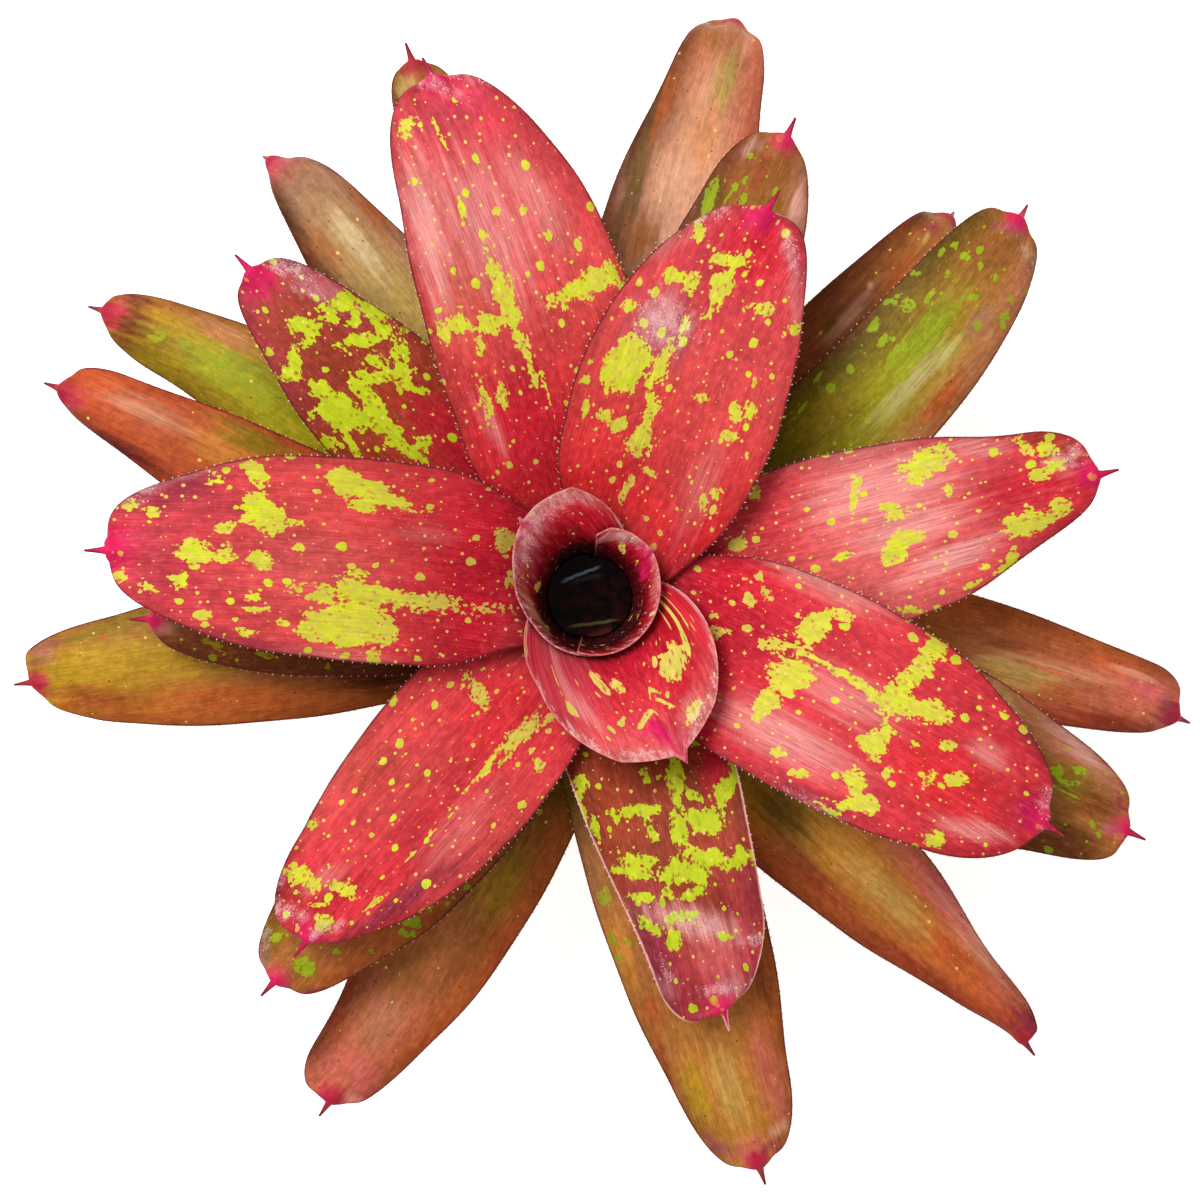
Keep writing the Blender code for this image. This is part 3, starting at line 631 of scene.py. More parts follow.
    "mottled_leaf_14": dress(
        (DARK_OLIVE, DARK_OLIVE, TAN_BROWN),
        marks=(
            (24, 12, 4, 2, 15), (21, 12, 4, 2), (31, 8, 5, 3, 10), (26, 6, 7, 2), (23, 7, 3, 2, 25),
            (12, -3, 3, 3, 25), (8, -5, 3, 2, -65), (23, 3, 14, 1),
        ),
        washes=(
            (33, 22, 42, 8, MAUVE, 0.9, -20), (25, 7, 27, 15, OLIVE, 0.9), (13, 3, 22, 12, BROWN, 0.7),
            (16, -9, 24, 9, DARK_BROWN, 0.6, 10), (6, 8, 13, 4, PLUM, 0.8, -45),
            (57, 24, 18, 5, KHAKI, 0.8, -25), (0, 0, 8, 5, MAGENTA, 0.9, 20),
            (4, -1, 10, 6, DULL_ROSE, 0.8, 25),
        ),
        sheens=(
            (26, 18, 40, 9, 0.7, -15), (5, -2, 11, 6, 0.4, 25),
        ),
        flanks=(CHOCOLATE, SALMON_BROWN),
        **MOTTLED,
        mark_colour=DIM_LIME,
    ),
    "outer_leaf_15": dress(
        (BROWN, BROWN, TAN_BROWN),
        washes=(
            (6, 5, 22, 10, KHAKI, 0.9, -35), (15, 12, 21, 6, BROWN, 0.8, -35), (2, 1, 7, 7, PINK_RED, 0.5),
        ),
        sheens=(
            (5, 4, 13, 6, 0.2, -40),
        ),
        flanks=(TAN_BROWN, BROWN),
        **PLAIN,
    ),
    "mottled_leaf_16": dress(
        (BROWN, BROWN, TAN_BROWN),
        marks=(
            (12, -10, 5, 3, -20), (11, 4, 6, 7), (22, 9, 3, 2, -50), (30, 18, 3, 2, -50), (42, 23, 2, 3),
            (44, 25, 2, 3), (47, 22, 6, 4, -50), (55, 23, 3, 3), (62, 28, 2, 3), (68, 29, 3, 3, 20),
        ),
        washes=(
            (12, -11, 16, 14, OLIVE, 0.8), (10, 5, 9, 12, OLIVE, 0.8), (3, -8, 12, 7, TAUPE, 0.9, 50),
            (6, 13, 30, 4, PLUM, 0.8, -35), (0, 0, 9, 6, MAGENTA, 0.9, -35),
            (72, 22, 58, 11, BURNT_ORANGE, 0.4),
        ),
        sheens=(
            (0, -10, 17, 8, 0.8, 60),
        ),
        scurfs=(
            (9, -13, 16, 6, 0.5, 45),
        ),
        flanks=(BROWN, BURNT_ORANGE),
        **MOTTLED,
        mark_colour=DIM_LIME,
    ),
    "mottled_leaf_17": dress(
        (DARK_OLIVE, GREEN, TAN_BROWN),
        marks=(
            (24, 9, 4, 5), (33, 10, 3, 3), (23, 14, 3, 2), (28, 16, 3, 2), (39, 18, 4, 2, -20),
            (50, 13, 5, 4, -20), (42, 10, 8, 2), (54, 20, 4, 2), (52, 18, 3, 2, 85), (63, 18, 6, 3),
            (65, 12, 6, 3), (63, 6, 6, 3, -10), (67, 6, 7, 2), (47, 2, 7, 2), (34, -2, 4, 2, -50),
            (24, -4, 3, 3), (24, 2, 3, 2, 35), (26, -13, 2, 3), (32, -15, 3, 3), (35, -17, 2, 3),
            (103, 16, 11, 1, 10), (90, 20, 8, 1, 10),
        ),
        washes=(
            (56, 2, 60, 17, LIME_OLIVE, 0.9), (95, 7, 40, 21, OLIVE, 0.8, 10),
            (53, -7, 18, 8, PALE_GREEN, 0.4), (66, -17, 35, 10, BURNT_ORANGE, 0.95),
            (39, -9, 22, 8, TAUPE, 0.8), (63, -26, 22, 4, MAUVE, 0.9), (70, 23, 47, 10, BROWN, 0.7),
            (14, 2, 24, 12, TAN_BROWN, 0.9, -15), (11, -13, 7, 9, DULL_ROSE, 0.7),
            (2, 1, 13, 8, MAGENTA, 0.9, 35), (6, 2, 15, 8, DULL_ROSE, 0.8, -55),
        ),
        sheens=(
            (70, -5, 56, 9, 0.6), (58, -6, 20, 8, 0.4), (63, -28, 20, 3, 0.5),
        ),
        scurfs=(
            (9, -9, 12, 10, 0.4),
        ),
        flanks=(SALMON_BROWN, DARK_OLIVE),
        **MOTTLED,
        mark_colour=DIM_LIME,
        sheen_colour=PALE_KHAKI,
    ),
    "outer_leaf_18": dress(
        (DARK_OLIVE, BURNT_ORANGE, RED_ORANGE),
        washes=(
            # (36, -5, 51, 12, SALMON_BROWN, 0.95) along the middle and the sheen there are a painted
            # highlight
            (36, -5, 51, 12, SALMON_BROWN, 0.95), (63, -4, 34, 18, GOLD, 0.7), (28, 11, 63, 8, MAROON, 0.9),
            (31, -13, 50, 8, RED_ORANGE, 0.8, 10), (72, -12, 50, 14, OLIVE, 0.9),
            (5, 2, 18, 12, PINK_RED, 0.9, 15),
        ),
        sheens=(
            (30, -4, 33, 6, 0.4), (1, -2, 6, 3, 0.2, -85),
        ),
        flanks=(RED_ORANGE, RED_BROWN),
        **PLAIN,
    ),
    "outer_leaf_19": dress(
        (OLIVE, TAN_BROWN, GOLD),
        marks=(
            (107, -25, 6, 5), (93, -26, 5, 2), (86, -26, 3, 3), (90, -21, 5, 2),
        ),
        washes=(
            (86, -25, 45, 12, GOLD, 0.8), (65, -19, 15, 12, BURNT_ORANGE, 0.9),
            (31, -2, 44, 15, PALE_GOLD, 0.9), (32, -13, 36, 11, OLIVE_GOLD, 0.9),
            # (64, 20, 27, 11, BROWN, 0.7) is painted shadow cast by red_leaf_11, which lies over this leaf
            (30, 13, 60, 15, SALMON_RED, 1), (64, 20, 27, 11, BROWN, 0.7), (6, 0, 18, 24, ROSE, 0.7),
            (45, -21, 52, 5, RED_BROWN, 0.8), (3, 0, 9, 9, MAGENTA, 0.9),
            (11, -12, 17, 7, DULL_ROSE, 0.7, 35), (4, 8, 14, 10, PLUM, 0.6, 65),
        ),
        sheens=(
            (11, 11, 13, 7, 0.9, -65),
        ),
        flanks=(TAN_BROWN, BURNT_ORANGE),
        **PLAIN,
        mark_colour=LIME_OLIVE,
    ),
    "outer_leaf_20": dress(
        (OLIVE, PALE_SALMON, SALMON_BROWN),
        washes=(
            (30, -3, 34, 12, KHAKI, 0.9), (52, 0, 34, 19, SALMON, 0.9), (62, 18, 100, 12, DARK_OLIVE, 0.8),
            (43, 15, 41, 8, BURNT_ORANGE, 0.9), (50, 21, 50, 9, DARK_BROWN, 0.7),
            (37, -15, 34, 4, SALMON_RED, 0.9), (91, 11, 26, 17, TAN_BROWN, 0.9),
            (78, 22, 21, 4, MAUVE, 0.8), (69, 4, 27, 17, PALE_SALMON, 0.8), (15, 5, 21, 11, TAN_BROWN, 0.8),
        ),
        sheens=(
            (64, 3, 50, 13, 0.6), (34, 2, 40, 6, 0.5), (15, -7, 14, 5, 0.6),
        ),
        flanks=(SALMON_RED, BROWN),
        **PLAIN,
    ),
    "outer_leaf_21": dress(
        (BROWN, TAN_BROWN, OLIVE_GOLD),
        washes=(
            (43, -3, 71, 17, OLIVE_GOLD, 0.95, -15), (28, -5, 50, 14, OLIVE_GOLD, 0.8),
            (73, 16, 88, 16, BURNT_ORANGE, 0.95, -10), (21, 8, 47, 13, RED_BROWN, 0.7, -15),
            (34, -16, 66, 10, OLIVE, 0.8, 10), (3, -12, 21, 17, DULL_ROSE, 0.6, -10),
            (2, 1, 12, 10, PINK_RED, 0.9), (121, 17, 36, 13, DARK_BROWN, 0.8, -10),
            (28, -12, 5, 4, RED_ORANGE, 0.7),
        ),
        sheens=(
            (6, -11, 10, 13, 0.2),
        ),
        flanks=(TAN_BROWN, BURNT_ORANGE),
        **PLAIN,
    ),
    "outer_leaf_22": dress(
        (DARK_BROWN, TAN_BROWN, SALMON_RED),
        washes=(
            (64, -3, 50, 15, KHAKI, 0.8), (70, 0, 24, 3, KHAKI, 0.9), (67, 6, 29, 5, BROWN, 0.6, 10),
            (46, -6, 25, 10, BURNT_ORANGE, 0.6), (34, 10, 25, 8, RED_ORANGE, 0.6),
            # (22, 8, 23, 9, SALMON_RED, 0.9) and the sheen at the same place are a painted highlight
            (22, 8, 23, 9, SALMON_RED, 0.9), (30, -10, 36, 8, RED_BROWN, 0.9, 10),
            (4, 1, 20, 15, PLUM, 0.9, 15), (14, 5, 30, 13, ROSE, 0.8, 15),
        ),
        sheens=(
            (22, 9, 23, 5, 0.7), (46, 3, 50, 5, 0.6), (69, 1, 21, 3, 0.5, 10),
        ),
        flanks=(RED_BROWN, BURNT_ORANGE),
        **PLAIN,
    ),
    "outer_leaf_23": dress(
        (KHAKI, KHAKI, TAUPE),
        washes=(
            (40, 13, 70, 12, DARK_BROWN, 0.9), (8, 0, 22, 26, DULL_RED, 0.6), (20, -11, 18, 9, TAUPE, 0.8),
            (44, -14, 41, 7, BURNT_ORANGE, 0.7), (50, -3, 46, 9, PALE_KHAKI, 0.5),
            (79, -2, 21, 10, KHAKI, 0.95), (44, 7, 33, 9, TAN_BROWN, 0.8), (39, 12, 28, 4, BROWN, 0.8),
            (4, 1, 15, 10, PINK_RED, 0.8, 15),
        ),
        sheens=(
            (50, -3, 50, 7, 0.3), (24, -10, 17, 4, 0.5),
        ),
        flanks=(TAUPE, DARK_BROWN),
        **PLAIN,
    ),
    "outer_leaf_24": dress(
        (DARK_OLIVE, TAN_BROWN, SALMON_RED),
        washes=(
            (99, 11, 40, 19, OLIVE_GOLD, 0.8), (59, -3, 46, 22, TAN_BROWN, 0.9),
            (74, 24, 45, 12, RED_ORANGE, 0.8), (34, -1, 34, 22, SALMON_BROWN, 0.9),
            (33, -16, 43, 8, RED_BROWN, 0.8, 10), (36, 16, 47, 9, RED_ORANGE, 0.6, -10),
            (10, 2, 30, 36, ROSE, 0.6), (7, -4, 26, 17, SALMON_RED, 0.9, -50),
            (1, -2, 17, 10, PINK_RED, 0.9, -35),
        ),
        sheens=(
            (4, 6, 9, 9, 0.9), (37, -1, 25, 13, 0.2),
        ),
        flanks=(BROWN, BURNT_ORANGE),
        **PLAIN,
    ),
    "outer_leaf_25": dress(
        (DARK_BROWN, BROWN, TAN_BROWN),
        washes=(
            (56, 4, 38, 7, MAUVE, 0.8), (32, 2, 23, 6, BURNT_ORANGE, 0.7),
            (19, 3, 16, 8, TAN_BROWN, 0.8, -10), (13, 3, 15, 6, PLUM, 0.9, -10),
            (17, 2, 8, 3, KHAKI, 0.8, 10), (65, 7, 12, 4, DARK_OLIVE, 0.9),
        ),
        sheens=(
            # (44, 6, 4, 3, 0.9, -90) is a painted glint
            (44, 6, 4, 3, 0.9, -90), (62, 3, 27, 4, 0.4),
        ),
        flanks=(BROWN, CHOCOLATE),
        **PLAIN,
    ),
    "outer_leaf_26": dress(
        (GREEN, GREEN, OLIVE_GOLD),
        marks=(
            (44, 0, 12, 4), (51, -4, 4, 3, 30), (57, 3, 16, 6), (67, 4, 15, 9, -10), (77, 10, 12, 4, -15),
            (35, 0, 4, 3, 25), (25, 2, 6, 4, 20), (63, 15, 4, 4, -10), (77, 14, 5, 2), (84, 13, 6, 2),
        ),
        washes=(
            (55, 2, 58, 19, LIME_OLIVE, 0.95), (75, 9, 39, 19, GREEN, 0.8),
            (45, -9, 41, 8, SALMON_BROWN, 0.7), (24, 5, 27, 21, OLIVE, 0.7, 20),
            (10, 0, 26, 36, DARK_MAROON, 0.85), (48, 21, 67, 7, BROWN, 0.9), (3, -1, 18, 16, PINK_RED, 0.9),
        ),
        sheens=(
            (44, -11, 28, 6, 0.3),
        ),
        flanks=(TAN_BROWN, OLIVE),
        **PLAIN,
        mark_colour=LIME_OLIVE,
    ),
    "outer_leaf_27": dress(
        (OLIVE, GOLD, RED_ORANGE),
        washes=(
            (121, -4, 35, 18, DARK_OLIVE, 0.9), (76, 0, 62, 16, PALE_GOLD, 0.9),
            (97, -13, 60, 11, RED_BROWN, 0.8), (50, -11, 63, 8, RED_BROWN, 0.9, 10),
            (46, 1, 28, 12, RED_ORANGE, 0.8), (50, 14, 80, 18, ROSE, 0.9),
            (20, 5, 25, 13, SALMON_RED, 0.7, 10), (2, 7, 32, 19, PLUM, 0.9, 30),
        ),
        sheens=(
            (36, 11, 50, 13, 0.9), (57, 13, 34, 8, 0.5),
        ),
        flanks=(RED_BROWN, SALMON_RED),
        **PLAIN,
    ),
}


def smooth(x):
    """Rises from 0 to 1 with flat ends while x goes from 0 to 1."""
    x = np.clip(x, 0.0, 1.0)
    return x * x * (3.0 - 2.0 * x)


def sheath_offset(order):
    """How far the leaf of this order lies outside the innermost one."""
    cups = len(CUPS)
    return CUP_PITCH * min(order, cups) + LEAF_PITCH * max(0, order - cups)


class Course:
    """The section that is turned round the plant's axis to give one leaf's surface, from stem to tip."""

    def __init__(self, order, rise, droop, curl, reach):
        bowl = FIRST_BOWL_RADIUS + sheath_offset(order)
        self.bowl_end = bowl * math.radians(WALL_SLOPE)
        self.wall_end = self.bowl_end + FIRST_WALL - WALL_STEP * order
        self.neck_end = self.wall_end + NECK_RADIUS * math.radians(WALL_SLOPE - rise)
        slopes = self.blade_slope(np.linspace(0.0, 1.0, SLOPE_SAMPLES), rise, droop, curl)
        sheath_radius = LEAF_START_RADIUS + bowl * math.sin(math.radians(WALL_SLOPE))
        sheath_radius += (self.wall_end - self.bowl_end) * math.cos(math.radians(WALL_SLOPE))
        turn = math.sin(math.radians(WALL_SLOPE)) - math.sin(math.radians(rise))
        neck_radius = sheath_radius + NECK_RADIUS * turn
        self.tip = self.neck_end + (reach - neck_radius) / np.cos(np.radians(slopes)).mean()
        self.distance = np.arange(0.0, self.tip + SPINE_LENGTH + COURSE_OVERRUN, COURSE_STEP)
        s = self.distance
        slope = np.where(s > self.bowl_end, WALL_SLOPE, np.degrees(s / bowl))
        neck = WALL_SLOPE - np.degrees((s - self.wall_end) / NECK_RADIUS)
        slope = np.where(s > self.wall_end, neck, slope)
        blade = self.blade_slope((s - self.neck_end) / (self.tip - self.neck_end), rise, droop, curl)
        self.slope = np.radians(np.where(s > self.neck_end, blade, slope))
        middle = 0.5 * (self.slope[1:] + self.slope[:-1])
        self.radius = LEAF_START_RADIUS + np.append(0.0, np.cumsum(np.cos(middle)) * COURSE_STEP)
        start_height = BOWL_CENTRE_HEIGHT - bowl
        self.height = start_height + np.append(0.0, np.cumsum(np.sin(middle)) * COURSE_STEP)

    @staticmethod
    def blade_slope(share, rise, droop, curl):
        share = np.clip(share, 0.0, 1.0)
        curled = smooth((share - CURL_START) / (1.0 - CURL_START))
        return rise + (droop - rise) * share**ARCH_POWER - curl * curled

    def radius_at(self, s):
        return np.interp(s, self.distance, self.radius)

    def height_at(self, s):
        return np.interp(s, self.distance, self.height)

    def slope_at(self, s):
        return np.interp(s, self.distance, self.slope)

    def distance_at_radius(self, radius):
        """Where the course first reaches a distance from the axis, beyond the neck's start."""
        past = self.distance >= self.wall_end
        return np.interp(radius, self.radius[past], self.distance[past])


def run_across(course, start, azimuth, tilt, half_widths, columns, straightness):
    """Follows each row sideways over the turned surface, from the blade's middle to one margin and the other.

    The row starts square to the blade's middle line. Straightness 1 keeps it straight on the surface, and
    0 keeps it level.
    """
    half = columns // 2
    places = np.zeros((len(start), columns + 1))
    turns = np.zeros((len(start), columns + 1))
    places[:, half] = start
    turns[:, half] = azimuth
    for side, half_width in zip((-1, 1), half_widths):
        s = start.copy()
        turn = azimuth.copy()
        bearing = tilt + side * math.pi / 2
        step = half_width / (half * STEPS_PER_COLUMN)
        for column in range(1, half + 1):
            for _ in range(STEPS_PER_COLUMN):
                radius = course.radius_at(s)
                closing = np.cos(course.slope_at(s)) * straightness
                middle = bearing - 0.5 * step * np.sin(bearing) * closing / radius
                s = s + step * np.cos(middle)
                turn = turn + step * np.sin(middle) / radius
                bearing = bearing - step * np.sin(middle) * closing / radius
            places[:, half + side * column] = s
            turns[:, half + side * column] = turn
    return places, turns


def heading_at(share, heading):
    """The middle line's azimuth, on the parabola through the three headings."""
    first, middle, last = heading
    share = np.clip(share, 0.0, 1.05)
    return (
        first * 2.0 * (share - 0.5) * (share - 1.0)
        - middle * 4.0 * share * (share - 1.0)
        + last * 2.0 * share * (share - 0.5)
    )


def spine_half_width(course, s):
    """The half width of the boss at the tip, which narrows along the spine."""
    past = np.clip((s - course.tip) / SPINE_LENGTH, 0.0, 1.0)
    return BOSS_HALF_WIDTH + (SPINE_HALF_WIDTH - BOSS_HALF_WIDTH) * past**0.6


def blade_half_width(course, s, blade, side):
    """The half width towards one margin at each place along the middle line, from the sheath to the spine."""
    stations = [course.distance_at_radius(share * blade.reach) for share in STATIONS]
    sheath = course.radius_at(s) * math.radians(SHEATH_HALF_ANGLE)
    wall_top = float(course.radius_at(course.wall_end)) * math.radians(SHEATH_HALF_ANGLE)
    places = [course.wall_end, *stations, course.tip]
    widths = [wall_top, *blade.half_widths, blade.half_widths[-1] * 0.9]
    window = int(WIDTH_SMOOTHING / COURSE_STEP)
    line = np.pad(np.interp(course.distance, places, widths), window, mode="edge")
    line = np.convolve(line, np.full(2 * window + 1, 1.0 / (2 * window + 1)), mode="valid")
    width = np.where(s < course.wall_end, sheath, np.interp(s, course.distance, line))
    length, power = TIP_FORMS[blade.name][1 + side]
    left = np.clip((course.tip - s) / length, 0.0, 1.0)
    width = width * np.sin(0.5 * math.pi * left) ** power
    return np.hypot(width, spine_half_width(course, s))


def tip_turn(blade, back):
    """How far the rows near the tip are turned, in radians."""
    return math.radians(TIP_FORMS[blade.name][0]) * smooth(1.0 - back / TURN_ZONE)


def surface_points(course, places, turns, lift):
    """Points on the turned surface, lifted square to it."""
    slope = course.slope_at(places)
    radius = course.radius_at(places) - lift * np.sin(slope)
    height = course.height_at(places) + lift * np.cos(slope)
    return np.stack([radius * np.cos(turns), radius * np.sin(turns), height], axis=-1)


# What a leaf's mesh is made from. Back, across and edge are in millimetres for each point of the grid.
Sheet = namedtuple("Sheet", "points thickness back across edge share")


def blade_rows(course):
    """Where the rows of a leaf's grid lie along its course, closest together at the tip."""
    blade_length = course.tip - TIP_ZONE - course.neck_end
    count = int(blade_length / BLADE_ROW_SPACING)
    rows = [
        np.linspace(0.0, course.bowl_end, BOWL_ROWS, endpoint=False),
        np.linspace(course.bowl_end, course.wall_end, WALL_ROWS, endpoint=False),
        np.linspace(course.wall_end, course.neck_end, NECK_ROWS, endpoint=False),
        np.linspace(course.neck_end, course.tip - TIP_ZONE, count, endpoint=False),
        course.tip - TIP_ZONE * (1.0 - np.linspace(0.0, 1.0, TIP_ROWS, endpoint=False)) ** 2.0,
        course.tip + SPINE_LENGTH * np.linspace(0.0, 1.0, SPINE_ROWS),
    ]
    return np.concatenate(rows)


def blade_sheet(blade, order):
    """A long leaf: sheath, neck and blade with its rippled margins, keel and spine."""
    rise = FIRST_RISE - RISE_STEP * order
    course = Course(order, rise, blade.droop, blade.curl, blade.reach)
    s = blade_rows(course)
    share = (s - course.neck_end) / (course.tip - course.neck_end)
    azimuth = np.radians(heading_at(share, blade.heading))
    before = np.radians(heading_at(share - HEADING_STEP, blade.heading))
    after = np.radians(heading_at(share + HEADING_STEP, blade.heading))
    run = 2.0 * HEADING_STEP * (course.tip - course.neck_end)
    tilt = np.arctan(course.radius_at(s) * (after - before) / run) * smooth(share / 0.15)
    turned = tip_turn(blade, course.tip - s)
    tilt = tilt + turned
    half_widths = [blade_half_width(course, s, blade, side) for side in (0, 1)]
    straightness = smooth((s - course.wall_end) / (course.neck_end - course.wall_end))
    places, turns = run_across(course, s, azimuth, tilt, half_widths, LEAF_COLUMNS, straightness)
    across = np.linspace(-1.0, 1.0, LEAF_COLUMNS + 1)[None, :]
    half_width = np.where(across < 0.0, half_widths[0][:, None], half_widths[1][:, None])
    across_mm = across * half_width * np.cos(turned)[:, None]
    back = (course.tip - s)[:, None] + across * half_width * np.sin(turned)[:, None]
    in_blade = smooth(share / 0.3)[:, None]
    ends = in_blade * smooth((1.04 - share) / 0.15)[:, None]
    lift = -blade.edge_drop * across**2 * ends
    ripple = np.sin(2 * math.pi * (2.3 * share[:, None] + 0.37 * order + 0.31 * np.sign(across)))
    lift = lift + blade.wave * np.abs(across) ** 3 * ripple * ends
    near_tip = smooth((KEEL_LENGTH - back) / KEEL_LENGTH) * smooth((back + 3.0) / 5.0)
    keel = KEEL_HEIGHT * np.exp(-((across_mm / KEEL_HALF_WIDTH) ** 2))
    pucker = PUCKER_DEPTH * np.exp(-(((np.abs(across_mm) - PUCKER_ASIDE) / PUCKER_HALF_WIDTH) ** 2))
    lift = lift + (keel - pucker - TIP_SINK) * near_tip
    thickness = SHEATH_THICKNESS + (BLADE_THICKNESS - SHEATH_THICKNESS) * smooth(share / 0.3)
    in_spine = smooth((s - course.tip + 4.0) / 4.0)
    round_thickness = 1.6 * spine_half_width(course, s)
    thickness = thickness + (round_thickness - thickness) * in_spine
    roundness = (8.0 - 6.0 * in_spine)[:, None]
    profile = np.sqrt(1.0 - np.abs(across) ** roundness)
    rim = np.minimum(RIM_THICKNESS, thickness)[:, None]
    thickness = np.maximum(rim, thickness[:, None] * profile)
    edge = half_width * (1.0 - np.abs(across))
    share = np.broadcast_to(share[:, None], places.shape)
    points = surface_points(course, places, turns, lift)
    return Sheet(points, thickness, back, across_mm, edge, share)


def cup_sheet(cup, order):
    """A cup leaf. Each column climbs its own line up the turned surface to the rim."""
    rim_azimuths = np.unwrap(np.radians([azimuth for azimuth, _ in cup.rim]))
    rim_radii = [radius for _, radius in cup.rim]
    course = Course(order, cup.rise, cup.droop, 0.0, max(rim_radii))
    tip_azimuth, tip_length = cup.tip
    even = np.linspace(rim_azimuths[0], rim_azimuths[-1], CUP_COLUMNS + 1)
    near_tip = np.radians(tip_azimuth + CUP_TIP_HALF_ANGLE * np.linspace(-1.0, 1.0, CUP_TIP_COLUMNS))
    middle = near_tip[CUP_TIP_COLUMNS // 2]
    azimuth = np.sort(np.append(even[np.abs(even - middle) > near_tip[-1] - middle], near_tip))
    away = np.degrees(np.abs(azimuth - math.radians(tip_azimuth)))
    point = np.clip(1.0 - away / CUP_TIP_HALF_ANGLE, 0.0, 1.0)
    rim = course.distance_at_radius(np.interp(azimuth, rim_azimuths, rim_radii) + tip_length * point**1.3)
    climb = np.linspace(0.0, 1.0, CUP_FLARE_ROWS)
    places = [np.full(len(azimuth), s) for s in np.linspace(0.0, course.bowl_end, BOWL_ROWS)]
    places += [course.wall_end + (rim - course.wall_end) * share for share in climb]
    places = np.array(places)
    turns = np.broadcast_to(azimuth, places.shape)
    back = rim[None, :] - places
    radius = course.radius_at(places)
    across = (turns - math.radians(tip_azimuth)) * radius
    knob = CUP_KNOB_HEIGHT * tip_length / LONGEST_CUP_TIP
    ridge = np.exp(-((across / CUP_RIDGE_HALF_WIDTH) ** 2)) * smooth((CUP_KNOB_BACK - back) / 4.0)
    beyond = (back - CUP_KNOB_BACK) / CUP_DOME_HALF_LENGTH
    dome = np.exp(-((across / CUP_DOME_HALF_WIDTH) ** 2) - beyond**2)
    lift = knob * np.maximum(ridge, dome)
    points = surface_points(course, places, turns, lift)
    margin = np.minimum(azimuth - azimuth[0], azimuth[-1] - azimuth) * radius
    edge = np.minimum(back, margin)
    thickness = np.full(places.shape, SHEATH_THICKNESS)
    thickness = np.maximum(RIM_THICKNESS, thickness * np.sqrt(1.0 - np.exp(-edge / CUP_EDGE_ROUNDING)))
    share = (places - course.neck_end) / (course.tip - course.neck_end)
    return Sheet(points, thickness, back, across, edge, share)


def grid_normals(points):
    """The direction square to the grid at each of its points."""
    normals = np.cross(np.gradient(points, axis=0), np.gradient(points, axis=1))
    return normals / np.linalg.norm(normals, axis=2, keepdims=True)


def oval_reach(sheet, oval):
    """How far each point lies from an oval's middle, where 1 is its rim."""
    lean = math.radians(oval.lean)
    along = oval.back - sheet.back
    aside = sheet.across - oval.across
    ahead = along * math.cos(lean) + aside * math.sin(lean)
    beside = aside * math.cos(lean) - along * math.sin(lean)
    return np.hypot(2.0 * ahead / oval.length, 2.0 * beside / oval.width)


def oval_share(sheet, oval):
    """1 in the middle of an oval, falling softly to 0 at its rim, which ends in streaks along the leaf."""
    waves = np.sin(1.15 * sheet.across + 0.04 * sheet.back + oval.back)
    waves = waves + np.sin(2.0 * sheet.across - 0.06 * sheet.back + oval.length)
    return smooth(1.25 * (1.0 - oval_reach(sheet, oval) + 0.13 * waves))


def mark_depth(sheet, look):
    """How far inside a mark each point lies, in millimetres, and below 0 outside. Small marks are deeper."""
    depth = np.full(sheet.back.shape, -DEEPEST_MARK)
    for mark in look.marks:
        half = 0.5 * max(min(mark.length, mark.width), SMALL_MARK)
        depth = np.maximum(depth, (1.0 - oval_reach(sheet, mark)) * half)
    return np.clip(depth, -DEEPEST_MARK, DEEPEST_MARK)


def tint(sheet, look):
    """The leaf's soft colours: its ramp from cup to tip, darkened below the neck as painted shade, with the
    washes laid over it.
    """
    # Below the neck the colour darkens towards the sheath's, as painted shade deep in the rosette
    sheath = look.sheath or tuple(0.45 * value + 0.10 for value in look.ramp[0])
    colours = np.array([sheath, *look.ramp])
    colour = np.stack([np.interp(sheet.share, RAMP_STOPS, colours[:, band]) for band in range(3)], axis=-1)
    if look.flanks:
        clockwise, anticlockwise = (np.array(flank) for flank in look.flanks)
        flank = np.where(sheet.across[..., None] < 0.0, clockwise, anticlockwise)
        outward = np.abs(sheet.across) / (np.abs(sheet.across) + sheet.edge + 0.01)
        on_blade = smooth((sheet.share - 0.1) / 0.2) * smooth((sheet.back - 2.0) / 8.0)
        colour = colour + (flank - colour) * (0.85 * smooth((outward - 0.2) / 0.7) * on_blade)[..., None]
    for wash in look.washes:
        share = (wash.strength * oval_share(sheet, wash))[..., None]
        colour = colour + (np.array(wash.colour) - colour) * share
    return colour


def soft_field(sheet, ovals):
    """How strongly the ovals cover each point, from 0 to 1."""
    field = np.zeros(sheet.back.shape)
    for oval in ovals:
        field = np.maximum(field, oval.strength * oval_share(sheet, oval))
    return field


